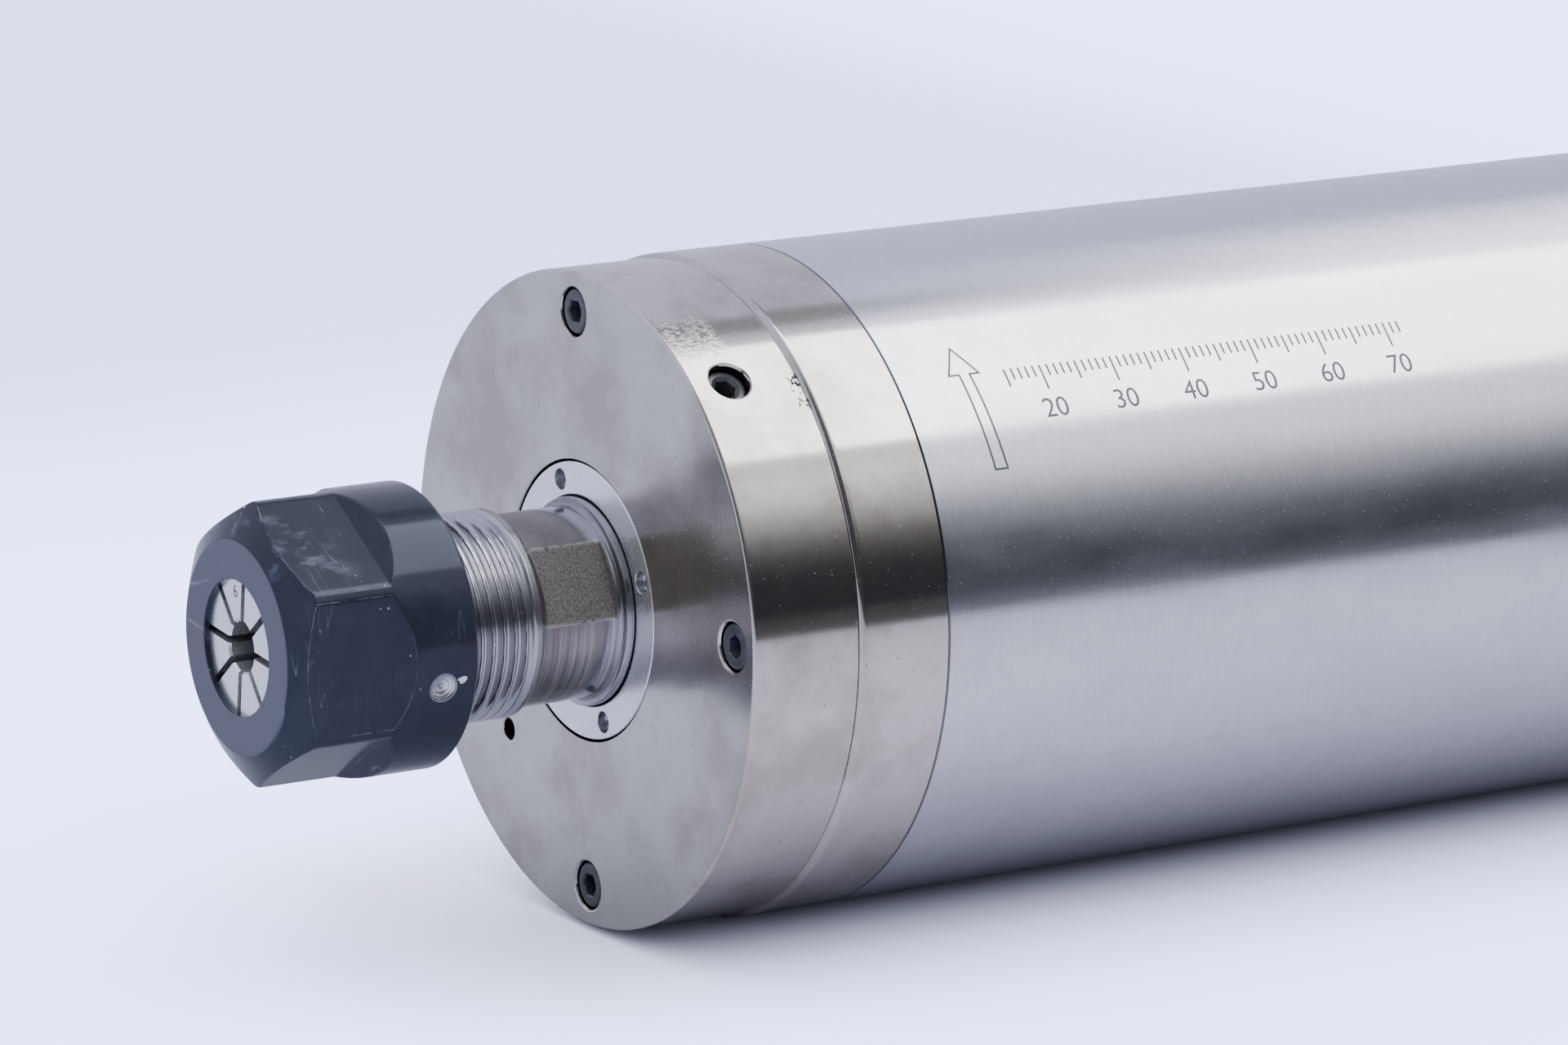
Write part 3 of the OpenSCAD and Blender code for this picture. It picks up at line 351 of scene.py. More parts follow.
# %% Wires between nodes
class Wire:
    """A node's output, a number, colour or vector, with signs and words that add the next node."""

    def __init__(self, tree, socket):
        self.tree, self.socket = tree, socket

    def maths(self, operation, *others):
        """One Math node on this number and others, which are wires or plain numbers."""
        return put(self.tree, "Math", dict(enumerate([self, *others])), operation=operation)

    def __add__(self, other):
        return self.maths("ADD", other)

    def __sub__(self, other):
        return self.maths("SUBTRACT", other)

    def __rsub__(self, other):
        return self * -1.0 + other

    def __mul__(self, other):
        return self.maths("MULTIPLY", other)

    def __truediv__(self, other):
        return self.maths("DIVIDE", other)

    def __abs__(self):
        return self.maths("ABSOLUTE")

    def most(self, other):
        return self.maths("MAXIMUM", other)

    def least(self, other):
        return self.maths("MINIMUM", other)

    def ramp(self, low, high, start=0.0, end=1.0):
        """Stretched so that low becomes start and high becomes end, and held between them."""
        return put(self.tree, "MapRange", {"Value": self, "From Min": low, "From Max": high,
                                           "To Min": start, "To Max": end}, "Result")

    def within(self, low, high, soft):
        """1 between low and high, falling to 0 over a soft width outside."""
        return self.ramp(low - soft, low) * self.ramp(high + soft, high)

    def between(self, first, second):
        """The number first where this mask is 0, and second where it is 1."""
        return self * (second - first) + first

    def colours(self, first, second):
        """The colour first where this mask is 0, and second where it is 1; wires or (r, g, b)."""
        ends = [c if isinstance(c, Wire) else (*c, 1.0) for c in (first, second)]
        return put(self.tree, "Mix", {0: self, 6: ends[0], 7: ends[1]}, 2, data_type="RGBA")

    def painted(self, mask, tone):
        """This colour, covered with a tone where a mask is 1."""
        return mask.colours(self, tone)

    def noise(self, scale=1.0, detail=3.0, rough=0.55):
        """A noise texture read at this vector."""
        return put(self.tree, "TexNoise", {"Vector": self, "Scale": scale, "Detail": detail,
                                           "Roughness": rough}, "Fac")

    def stretched(self, scale, turn=(0.0, 0.0, 0.0)):
        """This vector scaled and turned by a Mapping node."""
        return put(self.tree, "Mapping", {"Vector": self, "Scale": scale, "Rotation": turn})

    def parts(self):
        """This vector's x, y and z, and its distance from the spindle's axis."""
        split = put(self.tree, "SeparateXYZ", {0: self}).socket.node
        x, y, z = (Wire(self.tree, socket) for socket in split.outputs)
        return x, y, z, (x * x + z * z).maths("SQRT")

    def measured(self):
        """This point's x, station, z and distance from the axis, all in millimetres."""
        x, y, z, out = (part * 1000.0 for part in self.parts())
        return x, y + DATUM, z, out


print("wires know", ", ".join(word for word in vars(Wire) if not word.startswith("_")))

# %% [markdown]
# ## Shared finishing effects
# Almost every visible piece here is turned metal. Turning leaves very fine rings around the axis,
# handling leaves faint clouds, and age leaves specks, dust and scratches. Painted textures would need
# every piece unwrapped; noises on the object's own coordinates don't, and they stay on a piece when it
# moves. Each effect is one node group that gives out masks only, built once and placed in each
# material with its own values, and the material decides what a mask does to its colour or relief.

# %% Group: turning rings around the axis
def group(name, inputs, outputs):
    """An empty shader group that takes a vector and numbers: its tree, its given wires, its end node."""
    tree = bpy.data.node_groups.new(name, "ShaderNodeTree")
    tree.interface.new_socket("Vector", in_out="INPUT", socket_type="NodeSocketVector")
    for label, value in inputs.items():
        tree.interface.new_socket(label, in_out="INPUT", socket_type="NodeSocketFloat").default_value = value
    for label in outputs:
        tree.interface.new_socket(label, in_out="OUTPUT", socket_type="NodeSocketFloat")
    given = {s.name: Wire(tree, s) for s in tree.nodes.new("NodeGroupInput").outputs if s.name}
    return tree, given, tree.nodes.new("NodeGroupOutput")


def make_turning_group():
    """Rings: noise along (y + 0.8 r), stretched around the axis so that each ring fades in and out."""
    tree, given, result = group("turning_rings", {"Fineness": 9000.0, "Break up": 2.5},
                                ["Rings", "Broad rings"])
    x, y, z, out = given["Vector"].parts()
    along, safe = out * 0.8 + y, out.most(0.0005)
    around_x, around_z = (part / safe * given["Break up"] for part in (x, z))
    for label, factor, detail in (("Rings", 1.0, 4.0), ("Broad rings", 0.12, 2.0)):
        spot = {0: along * (given["Fineness"] * factor), 1: around_x, 2: around_z}
        feed(result, {label: put(tree, "CombineXYZ", spot).noise(1.0, detail, 0.6)})
    return tree


turning_rings = make_turning_group()
print("group", turning_rings.name, "with", len(turning_rings.nodes), "nodes")

# %% [markdown]
# ## Signs of handling
# A handled surface shows clouds where fingers and oil have been, pits and specks of dust, and a few
# hair-thin scratches. Small round things come from a Voronoi texture's cells, of which a noise picks
# some; a scratch is the line where a stretched noise crosses its middle value. All four are in one
# group, because most metals here use several of them.


# %% Group: clouds, pits, dust and scratches
def make_wear_group():
    """Clouds: two noises added. Pits and dust: small cells picked by a noise. Scratches: thin ridges."""
    tree, given, result = group("handled_metal", {"Cloud size": 70.0, "Pit size": 1500.0},
                                ["Clouds", "Pits", "Dust", "Scratches"])
    vector = given["Vector"]
    scaled = put(tree, "VectorMath", {0: vector, "Scale": given["Cloud size"]}, operation="SCALE")
    feed(result, {"Clouds": scaled.noise(1.0, 4.0, 0.6) * 0.65 + scaled.noise(5.0, 3.0, 0.6) * 0.35})
    for label, factor, low, high in (("Pits", 1.0, 0.6, 0.66), ("Dust", 1.9, 0.57, 0.62)):
        cells = put(tree, "TexVoronoi", {"Vector": vector, "Scale": given["Pit size"] * factor}, "Distance")
        chosen = vector.noise(900.0 * factor, 2.0).ramp(low, high)
        feed(result, {label: cells.ramp(0.24, 0.1) * chosen})
    ridge = abs(vector.stretched((14.0, 760.0, 70.0), (0.6, 0.35, 0.9)).noise(1.0, 1.0) - 0.5)
    here_and_there = vector.noise(120.0, 2.0).ramp(0.54, 0.62)
    feed(result, {"Scratches": ridge.ramp(0.006, 0.0) * here_and_there})
    return tree


handled_metal = make_wear_group()
print("group", handled_metal.name, "with", len(handled_metal.nodes), "nodes")

# %% [markdown]
# ## The recipe for turned metal
# One recipe covers all turned steel: a base colour that drifts between two close tones with the
# clouds, a roughness that follows the rings and the clouds, pits that darken, dust that shows pale in
# dark reflections, and a relief of rings a few micrometres deep. What differs between plated covers,
# ground tube and polished races is only how strong each part is. A recipe may also get a `local`
# function, which changes colour, roughness and relief in one place, such as the wrench flats.

# %% Turned metal
PALE_DUST = (0.62, 0.61, 0.6)


def spaced(words):
    """The words of a call as a shader spells them, with spaces: Coat_Weight becomes Coat Weight."""
    return {word.replace("_", " "): value for word, value in words.items()}


def new_finish(name, **constants):
    """Starts a finish: its Principled shader with its plain numbers set, and the object's coordinates."""
    made = FINISHES[name] = bpy.data.materials.new(name)
    made.use_nodes = True
    shader = made.node_tree.nodes["Principled BSDF"]
    feed(shader, spaced(constants))
    return shader, put(made.node_tree, "TexCoord", {}, "Object")


def place_group(shared, vector, **values):
    """Puts a shared group into a material with this material's own values, and returns its masks."""
    node = vector.tree.nodes.new("ShaderNodeGroup")
    node.node_tree = shared
    feed(node, {"Vector": vector, **spaced(values)})
    return {socket.name: Wire(vector.tree, socket) for socket in node.outputs}


def dress(shader, colour, roughness, height, distance=1.0):
    """Feeds a shader's colour and roughness, and its Normal from a height that counts in distances."""
    bump = put(height.tree, "Bump", {"Distance": distance, "Height": height})
    feed(shader, {"Base Color": colour, "Roughness": roughness, "Normal": bump})


def turned_metal(name, light, dark, rough, spread, depth, fineness=9000.0, cloud_size=70.0, pits=0.0,
                 dust=0.0, scratches=0.0, local=None):
    """Metal with rings around the spindle's axis; the depth of the rings is in micrometres."""
    shader, vector = new_finish(name, Metallic=1.0)
    rings = place_group(turning_rings, vector, Fineness=fineness)
    wear = place_group(handled_metal, vector, Cloud_size=cloud_size)
    pit, speck = wear["Pits"] * pits, wear["Dust"] * dust
    colour = wear["Clouds"].ramp(0.38, 0.64).colours(light, dark)
    colour = colour.painted(pit, tuple(0.2 * v for v in dark)).painted(speck, PALE_DUST)
    colour = colour.painted(wear["Scratches"] * scratches, tuple(min(1.0, 1.25 * v) for v in light))
    mixed = wear["Clouds"] * 0.6 + rings["Rings"] * 0.4
    gloss = mixed * spread + (rough - spread / 2) + speck * 0.5 + pit * 0.3
    height = (rings["Broad rings"] * 0.6 + rings["Rings"] * 0.4 - pit * 0.5) * (depth * 1e-6)
    if local:
        colour, gloss, height = local(vector, colour, gloss, height)
    dress(shader, colour, gloss, height)


# Name, light and dark tone, roughness and its spread, the rings' depth, and how fine they are.
turned_metal("bearing_steel", (0.72, 0.72, 0.74), (0.66, 0.66, 0.68), 0.12, 0.05, 0.8, 12000.0)
turned_metal("sleeve_metal", (0.78, 0.79, 0.80), (0.70, 0.71, 0.72), 0.34, 0.1, 6.0, 3000.0)
turned_metal("spring_steel", (0.36, 0.38, 0.44), (0.28, 0.29, 0.35), 0.3, 0.1, 2.0)
turned_metal("bright_plating", (0.80, 0.78, 0.74), (0.72, 0.70, 0.66), 0.16, 0.08, 1.2, 6000.0, dust=0.3)
turned_metal("contact_brass", (0.90, 0.70, 0.34), (0.82, 0.60, 0.26), 0.2, 0.08, 1.0)
turned_metal("cage_metal", (0.78, 0.79, 0.80), (0.68, 0.69, 0.70), 0.4, 0.12, 8.0, 2500.0)
print("turned metals without marks of their own:", ", ".join(FINISHES))

# %% [markdown]
# ## The cover's own marks
# The plated cover and flange are bright, but not clean. Brown stains spread over them, the face is a
# little duller than the side, a scuff sits at the cover's front edge and a ragged gouge at its rear
# edge. Each mark has its own window, a range of stations and heights on the side facing +X, and a
# noise decides what shows inside it. The window is cheaper than a painted map and never slides.

# %% Plated steel
DARK_SEAM_AND_SHADE = (0.045, 0.045, 0.05)
FLANGE_END = DATUM


def cover_marks(vector, colour, gloss, height):
    """Stains where a slow noise is high, a duller face, painted shade on the walls of the holes, a dark
    seam at the tube, and noise in two windows: the gouge at the cover's rear edge and the scuff at its
    front."""
    _, s, z, out = vector.measured()
    stain = vector.noise(60.0, 6.0, 0.66).ramp(0.46, 0.62)
    face = s.ramp(0.35, 0.05)
    hole_wall_shade = s.within(0.5, 14.0, 0.2) * out.ramp(39.3, 39.1)
    seam = s.within(FLANGE_END - 0.16, FLANGE_END, 0.03)
    ragged = vector.stretched((1.0, 1.0, 0.45)).noise(1500.0, 3.0, 0.7).ramp(0.52, 0.56)
    gouge = ragged * s.within(12.8, 14.1, 0.2) * z.within(27.2, 30.0, 0.6)
    rubbed = vector.stretched((1.0, 0.55, 1.0)).noise(2100.0, 3.0, 0.65).ramp(0.45, 0.62)
    scuff = rubbed * s.within(1.0, 6.7, 1.2) * z.within(32.8, 36.2, 0.9)
    # Painted shade darkens the walls of the holes; the seams at cover and tube are real dark joints.
    colour = colour.painted(stain, (0.455, 0.42, 0.375)).painted(hole_wall_shade.most(seam * 0.8), DARK_SEAM_AND_SHADE)
    colour = colour.painted(gouge, (0.02, 0.02, 0.022)).painted(scuff * 0.2, (0.34, 0.32, 0.30))
    gloss = gloss + stain * 0.03 + face * 0.085 + scuff * 0.12 + gouge * 0.5
    return colour, gloss, height + scuff * 9e-6 + gouge * -3e-5


turned_metal("plated_steel", (0.64, 0.605, 0.565), (0.58, 0.55, 0.51), 0.1, 0.07, 0.9, 5200.0, 90.0,
             pits=0.8, dust=0.35, scratches=0.3, local=cover_marks)
print("plated steel is stained, scuffed and gouged")

# %% [markdown]
# ## The ground tube
# The body is a ground tube. Grinding leaves a fine grain around it, sliding in its clamp leaves long
# soft streaks along it, and a hand has left rubbed smears low on its side. The streaks are relief, so
# that they bend the soft box's edge in the reflection instead of standing on it like paint.

# %% Tube metal
def tube_marks(vector, colour, gloss, height):
    """Dark rubs in one window low on the side facing +X, faint long smears elsewhere, grain around the
    tube from a noise squeezed along it, streaks from one squeezed around it, and a dark seam 0.16 mm
    long at the flange."""
    _, s, z, _ = vector.measured()
    rubbed = vector.stretched((500.0, 1500.0, 320.0), (0.5, 0.0, 0.0)).noise(1.0, 3.0, 0.6).ramp(0.42, 0.68)
    rub = rubbed * s.within(52.2, 65.2, 4.0) * z.within(3.0, 6.6, 1.0)
    smear = vector.stretched((90.0, 22.0, 70.0), (0.3, 0.0, 0.0)).noise(1.0, 5.0, 0.6).ramp(0.48, 0.66)
    grain = vector.stretched((260.0, 4200.0, 260.0)).noise(1.0, 4.0, 0.65).ramp(0.42, 0.7, 0.0, 0.3)
    streaks = vector.stretched((230.0, 9.0, 230.0)).noise(1.0, 3.0, 0.6)
    seam = s.within(FLANGE_END, FLANGE_END + 0.16, 0.03)
    colour = colour.painted(smear * 0.6, (0.575, 0.58, 0.615)).painted(rub * 0.5, (0.30, 0.31, 0.34))
    colour = colour.painted(grain, (0.42, 0.43, 0.46)).painted(seam * 0.8, DARK_SEAM_AND_SHADE)
    return colour, gloss + smear * 0.05 + rub * 0.04, height + streaks * 1.3e-5


turned_metal("body_metal", (0.69, 0.71, 0.745), (0.635, 0.65, 0.69), 0.155, 0.06, 2.4, 7000.0, 45.0,
             dust=0.25, scratches=0.15, local=tube_marks)
print("tube metal has grain, streaks, smears and a seam")

# %% [markdown]
# ## The shaft's steel
# The shaft is dark hardened steel with a brighter thread and bright bands turned on its neck; the bands
# are painted stronger on the neck's lower side as a painted sheen. Its two wrench flats are milled,
# sandy and blackened, and their edges are rubbed bare by the wrench. The shader finds the flats by the
# same measures that shape them: on a flat, a point lies exactly the flat's distance out along one
# direction, so no second material or vertex paint is needed.

# %% Shaft steel
FLAT_TURN, FLAT_OUT = math.radians(26.2), 10.5
FLAT_FROM, FLAT_TO = -11.1, -1.66
NECK_R, THREAD_END = 11.5, -11.8


def wrench_flats(vector, colour, gloss, height):
    """A brighter thread, bands on the neck from a noise squeezed along the axis, made stronger on its lower
    side as a painted sheen, and on the flats a sandy ground with sparks of bare grain and a worn bright line
    along their edges."""
    x, s, z, out = vector.measured()
    leaning = abs(x * math.cos(FLAT_TURN) + z * math.sin(FLAT_TURN))
    along = s.within(FLAT_FROM - 0.005, FLAT_TO + 0.015, 0.01)
    flat = leaning.ramp(FLAT_OUT - 0.015, FLAT_OUT - 0.005) * along
    thread = s.ramp(THREAD_END, THREAD_END - 0.6)
    bands_and_low_sheen = vector.stretched((45.0, 2400.0, 45.0)).noise(1.0, 3.0, 0.65).ramp(0.42, 0.62)
    # Painted sheen: the turned bands grow stronger towards the neck's lower side.
    bands_and_low_sheen = bands_and_low_sheen * z.ramp(3.0, -3.0, 0.1, 0.7) * thread.ramp(1.0, 0.0)
    grain = vector.stretched((1.0, 1.0, 0.55)).noise(5200.0, 3.0, 0.8)
    sand = grain.ramp(0.35, 0.65).colours((0.070, 0.066, 0.062), (0.198, 0.188, 0.184))
    sand = sand.painted(vector.noise(9000.0, 1.0).ramp(0.66, 0.78, 0.0, 0.5), (0.75, 0.72, 0.66))
    rim = leaning.within(FLAT_OUT - 0.075, FLAT_OUT - 0.015, 0.01) * along
    end_walls = out.ramp(NECK_R - 0.1, NECK_R - 0.06) * flat
    worn = rim.most(end_walls) * vector.noise(700.0).ramp(0.42, 0.5)
    colour = colour.painted(thread, (0.42, 0.42, 0.45)).painted(bands_and_low_sheen, (0.52, 0.52, 0.55))
    colour = colour.painted(flat, sand).painted(worn, (0.48, 0.47, 0.45))
    gloss = worn.between(flat.between(gloss, 0.55), 0.22)
    return colour, gloss, height + grain * flat * 2.4e-5


turned_metal("shaft_steel", (0.27, 0.27, 0.285), (0.20, 0.20, 0.21), 0.2, 0.12, 5.0, 4200.0, 160.0,
             pits=0.8, scratches=0.3, local=wrench_flats)
print("shaft steel has flats", FLAT_OUT, "mm from the axis")

# %% [markdown]
# ## The ring nut's steel
# The ring nut is the brightest metal of the nose. Painted shade darkens it where little light reaches:
# a dark line in the bevel of its bore, beside the shaft, and greyer pin holes.

# %% Bright steel
BORE_R = 12.5


def bore_dirt(vector, colour, gloss, height):
    """Painted shade: dark in the bevel of the bore, up to 0.3 mm beyond its radius, and grey in the pin
    holes.
    """
    _, s, _, out = vector.measured()
    # Painted shade: a dark line where the bore's bevel meets the shaft, and grey inside the pin holes.
    bore_gap_shade = s.within(0.0, 1.2, 0.1) * out.ramp(BORE_R + 0.33, BORE_R + 0.22)
    bore_gap_shade = bore_gap_shade * out.ramp(BORE_R - 0.01, BORE_R + 0.01)
    pin_hole_shade = s.within(0.35, 1.5, 0.1) * out.within(13.3, 16.1, 0.1)
    return colour.painted(bore_gap_shade, (0.03, 0.03, 0.034)).painted(pin_hole_shade, (0.50, 0.51, 0.54)), gloss, height


turned_metal("bright_steel", (0.95, 0.95, 0.98), (0.88, 0.88, 0.92), 0.27, 0.1, 2.0, 6000.0, 200.0,
             pits=0.1, local=bore_dirt)
print(len(FINISHES), "turned metals")

# %% [markdown]
# ## The collet nut's worn edges
# The collet nut is burnished: a thin dark blue-black oxide over steel, glossy like lacquer, so it is
# a dark dielectric rather than a grey metal. Where the oxide is rubbed through, along the edges, in
# the drilled balance mark and in a few specks, bare metal shows. Blender's Bevel node could find the
# edges, but it is slow and can't be baked, so they are found from the same cylinder, cone and planes
# that shape the nut: on the surface the distance to one of them is zero, and near an edge the second
# smallest is almost zero.

# %% Group: edges of the collet nut
NUT_FRONT, NUT_REAR = -45.9, -23.2
NUT_TURN, NUT_FLAT, NUT_ROUND = -0.9, 15.0, 17.0
NUT_FACE_R, FLAT_END = 12.55, -33.4
CONE_RISE = 1 / math.tan(math.radians(30))
DIMPLE_TURN, DIMPLE_S, DIMPLE_R = -12.4, -27.8, 1.75


def make_nut_edge_group():
    """Worn edges: 1 where the middle one of the distances to cylinder, cone and flat is under 0.03 mm,
    fading out at 0.075 mm, and where the angle is half way between two flats."""
    tree, given, result = group("nut_edges", {}, ["Edges", "Face"])
    x, s, z, r = given["Vector"].measured()
    angle = z.maths("ARCTAN2", x) - math.radians(NUT_TURN - 30)
    folded = angle.maths("FLOORED_MODULO", TAU / 6) - TAU / 12
    across, aside = r * folded.maths("COSINE"), r * abs(folded.maths("SINE"))
    to_flat = (s + (NUT_FLAT - FLAT_END)).most(NUT_FLAT) - across
    to_round = NUT_ROUND - r
    to_cone = (s * CONE_RISE + (NUT_FACE_R - NUT_FRONT * CONE_RISE) - r) * 0.5
    low, high = to_flat.least(to_round), to_flat.most(to_round)
    meeting = low.most(high.least(to_cone)).ramp(0.075, 0.03)
    half_side = NUT_FLAT * math.tan(TAU / 12)
    on_hexagon = to_flat.ramp(0.2, 0.1) * to_round.ramp(0.0, 0.1)
    between_flats = aside.ramp(half_side - 0.10, half_side - 0.05) * on_hexagon
    feed(result, {"Edges": meeting.most(between_flats), "Face": s.ramp(NUT_FRONT + 0.06, NUT_FRONT + 0.02)})
    return tree


nut_edges = make_nut_edge_group()
print("group", nut_edges.name, "with", len(nut_edges.nodes), "nodes")

# %% [markdown]
# ## Burnished steel
# Burnishing leaves the nut glossy, with smears on the flats, a duller front face and tool rings in the
# drilled mark. Oxide and bare metal could be two shaders mixed by a mask. One shader whose colour,
# metalness and roughness all follow that mask looks the same, renders faster and can be baked.

# %% Burnished steel of the collet nut
RING_STEP = 0.42


def distance_from(vector, turn, r, s):
    """Distance in millimetres from a point at an angle, radius and station."""
    place = tuple(around(turn, r, s)[0] * MM)
    return put(vector.tree, "VectorMath", {0: vector, 1: place}, "Value", operation="DISTANCE") * 1000.0


def burnished(name):
    """Near-black oxide with a smear and a dull face. Bare metal shows where edges, scratches and specks
    are worn, in a chip beside the drilled mark, and in the mark, with rings at sin(distance)."""
    shader, vector = new_finish(name, Specular_IOR_Level=0.3, Specular_Tint=(0.66, 0.73, 1.0, 1.0))
    wear = place_group(handled_metal, vector, Cloud_size=120.0, Pit_size=1100.0)
    masks = place_group(nut_edges, vector)
    _, s, z, _ = vector.measured()
    smear = vector.stretched((1.0, 0.5, 1.0), (0.3, 0.2, 0.5)).noise(210.0, 5.0, 0.66).ramp(0.52, 0.62)
    smear = smear * z.within(10.5, 15.2, 1.2) * s.ramp(-35.3, -40.3)
    oxide = wear["Clouds"].ramp(0.4, 0.62).colours((0.0045, 0.005, 0.0068), (0.0065, 0.007, 0.0095))
    oxide = oxide.painted(smear, (0.016, 0.0185, 0.026)).painted(masks["Face"], (0.0245, 0.0246, 0.031))
    gloss = masks["Face"].between(smear.between(0.12, 0.3), 0.5)
    edges = masks["Edges"] * vector.noise(420.0, 4.0, 0.7).ramp(0.45, 0.75, 0.0, 0.12)
    specks = wear["Pits"] * vector.noise(90.0, 1.0).ramp(0.58, 0.66, 0.0, 0.3)
    beside = distance_from(vector, DIMPLE_TURN + 2.6, NUT_ROUND, DIMPLE_S + 2.45)
    chip = (vector.noise(1500.0) * 0.9 + beside).ramp(0.92, 0.86)
    away = distance_from(vector, DIMPLE_TURN, NUT_ROUND - 0.3, DIMPLE_S)
    drilled = away.ramp(DIMPLE_R + 0.06, DIMPLE_R - 0.02)
    rings = (away * (TAU / RING_STEP)).maths("SINE")
    # Painted shade: the drilled mark's rim is dark, and its rings turn dark and bright in turn.
    shade = rings.ramp(0.0, 1.0, 0.0, 0.6).most(away.ramp(DIMPLE_R - 0.3, DIMPLE_R - 0.1)) * drilled
    steel = shade.colours((0.60, 0.62, 0.66), (0.16, 0.165, 0.185))
    bare = edges.most(drilled).most(chip.most(specks)).most(wear["Scratches"] * 0.05)
    fine = place_group(turning_rings, vector, Fineness=5000.0)["Rings"]
    height = fine * 0.7e-6 + rings * drilled * 7e-6
    dress(shader, oxide.painted(bare, steel), bare.between(gloss, 0.27), height)
    feed(shader, {"Metallic": bare})


burnished("burnished_steel")
print("burnished steel, bare within", DIMPLE_R, "mm of the balance mark's middle")

# %% [markdown]
# ## Blackened steel
# The screws are blackened in a bath, which gives a duller, cloudier oxide than burnishing does. The
# etched marks on the tube and the collet are that same oxide, so one recipe makes both materials.


# %% Blackened steel of the screws and marks
def blackened(name):
    """Duller oxide: dark clouds, a few paler pits, and a satin gloss that follows the clouds."""
    shader, vector = new_finish(name)
    wear = place_group(handled_metal, vector, Cloud_size=420.0, Pit_size=2600.0)
    oxide = wear["Clouds"].ramp(0.35, 0.68).colours((0.007, 0.0073, 0.009), (0.014, 0.0145, 0.018))
    dress(shader, oxide.painted(wear["Pits"] * 0.6, (0.12, 0.12, 0.13)),
          wear["Clouds"].ramp(0.3, 0.7, 0.22, 0.4), vector.noise(4200.0, 2.0), 3e-6)


for name in ("black_oxide", "etched_mark"):
    blackened(name)
    print("blackened finish", name)

# %% [markdown]
# ## Plastics, rubber and ceramic
# Inside the spindle are seals, cages, ceramic balls and gaskets. Such moulded and pressed things have
# no direction, so they share one recipe: a fine even noise for colour, gloss and relief.

# %% Non-metals
def grained(name, light, dark, rough, spread, scale, depth, coat=0.0):
    """A fine even grain: one noise drives colour, gloss and a relief in micrometres."""
    shader, vector = new_finish(name, Coat_Weight=coat)
    grain = vector.noise(scale, 4.0, 0.6)
    dress(shader, grain.ramp(0.35, 0.65).colours(light, dark), grain * spread + (rough - spread / 2),
          grain, depth * 1e-6)


# Name, light and dark tone, roughness and its spread, how fine the grain is, its depth, any coat.
grained("seal_rubber", (0.020, 0.020, 0.021), (0.010, 0.010, 0.011), 0.55, 0.15, 900.0, 12.0)
grained("black_plastic", (0.022, 0.022, 0.024), (0.012, 0.012, 0.013), 0.45, 0.12, 1400.0, 8.0)
grained("lead_sleeve", (0.42, 0.035, 0.02), (0.33, 0.02, 0.012), 0.5, 0.12, 700.0, 10.0)
grained("cage_resin", (0.36, 0.20, 0.07), (0.26, 0.13, 0.04), 0.5, 0.2, 1800.0, 14.0)
grained("ball_ceramic", (0.060, 0.060, 0.066), (0.045, 0.045, 0.050), 0.08, 0.03, 2500.0, 0.5, 0.4)
grained("gasket_sheet", (0.07, 0.16, 0.11), (0.04, 0.10, 0.07), 0.75, 0.15, 1100.0, 30.0)
print(len(FINISHES), "finishes so far")

# %% [markdown]
# ## Stacked sheet and wound wire
# The motor's stack is half-millimetre sheets, so a sine wave along the axis gives its stripes. The
# windings are varnished strands around the axis, which the turning rings already draw if they are
# made coarse, so no wire has to be modelled where only the ends of the coils can be seen.

# %% Stacked sheet and wound wire
SHEET_PITCH = 0.0005


def stacked_sheet(name):
    """Varnished laminations: a stripe sin(y / sheet) along the axis with a little noise in its tone."""
    shader, vector = new_finish(name, Metallic=0.8)
    stripe = (vector.parts()[1] * (TAU / SHEET_PITCH)).maths("SINE").ramp(-1.0, 1.0)
    tone = vector.noise(300.0) * 0.4 + stripe * 0.6
    dress(shader, tone.colours((0.16, 0.165, 0.18), (0.34, 0.345, 0.36)), tone * 0.2 + 0.3, stripe, 2e-5)


def wound_wire(name):
    """Varnished end turns: strands that run around the axis and cross over as they go."""
    shader, vector = new_finish(name, Coat_Weight=0.6, Coat_Roughness=0.15)
    strands = place_group(turning_rings, vector, Fineness=1500.0, Break_up=6.0)["Rings"]
    tone = strands.ramp(0.35, 0.65)
    dress(shader, tone.colours((0.12, 0.03, 0.01), (0.46, 0.17, 0.05)), tone * -0.15 + 0.45, strands, 4e-4)


stacked_sheet("lamination")
wound_wire("winding")
print(len(FINISHES), "finishes in all")

# %% [markdown]
# ## Finishes on the construction model's pieces
# Bearings, seals, rotor, coils, pins and rings have the right shape already. They stay as they were
# drawn, and each gets the finish that its record names, through its material slots.

# %% Handing out the finishes
slot_of = {entry["node"]: entry["material_slot"] for entry in frame["record"]["subparts"]}
for node_name, node in frame["nodes"].items():
    if not node.material_slots:
        node.data.materials.append(FINISHES[slot_of[node_name]])
    for place in node.material_slots:
        place.material = FINISHES[slot_of[node_name]]
print("finished", len(frame["nodes"]), "pieces of the construction model")

# %% [markdown]
# ## The front cover
# The cover is a plated disc with four counterbores for its screws, a small jack hole in its face and a
# port bored into its side. Its edges are barely broken, only 0.5 mm, yet that narrow rounding draws
# the bright line around the face, so it is modelled with seven steps. Grooves in its bore make one
# half of a labyrinth that keeps coolant out.

# %% Front cover
SCREW_R, SCREW_TURNS, REAR_TURNS = 34.65, (2.2, 92.2, 182.2, 272.2), (45, 135, 225, 315)
PORT_TURN, PORT_S, COVER_R, COVER_REAR = 50.2, 5.4, 39.5, 14.1
fine_angles = even_angles(480)


def screw_holes(turns, s, steps, inward):
    """Holes on the screws' circle, as spin takes them."""
    return [(turn, SCREW_R, s, steps, inward) for turn in turns]


def turned_piece(name, body, slot, stands_for, profile, angles=fine_angles, **spun):
    """A piece turned about the main axis from one profile of (r, s) rows."""
    skin = Skin()
    spin(skin, *profile.T, angles, **spun)
    skin.piece(name, body, slot, stands_for)


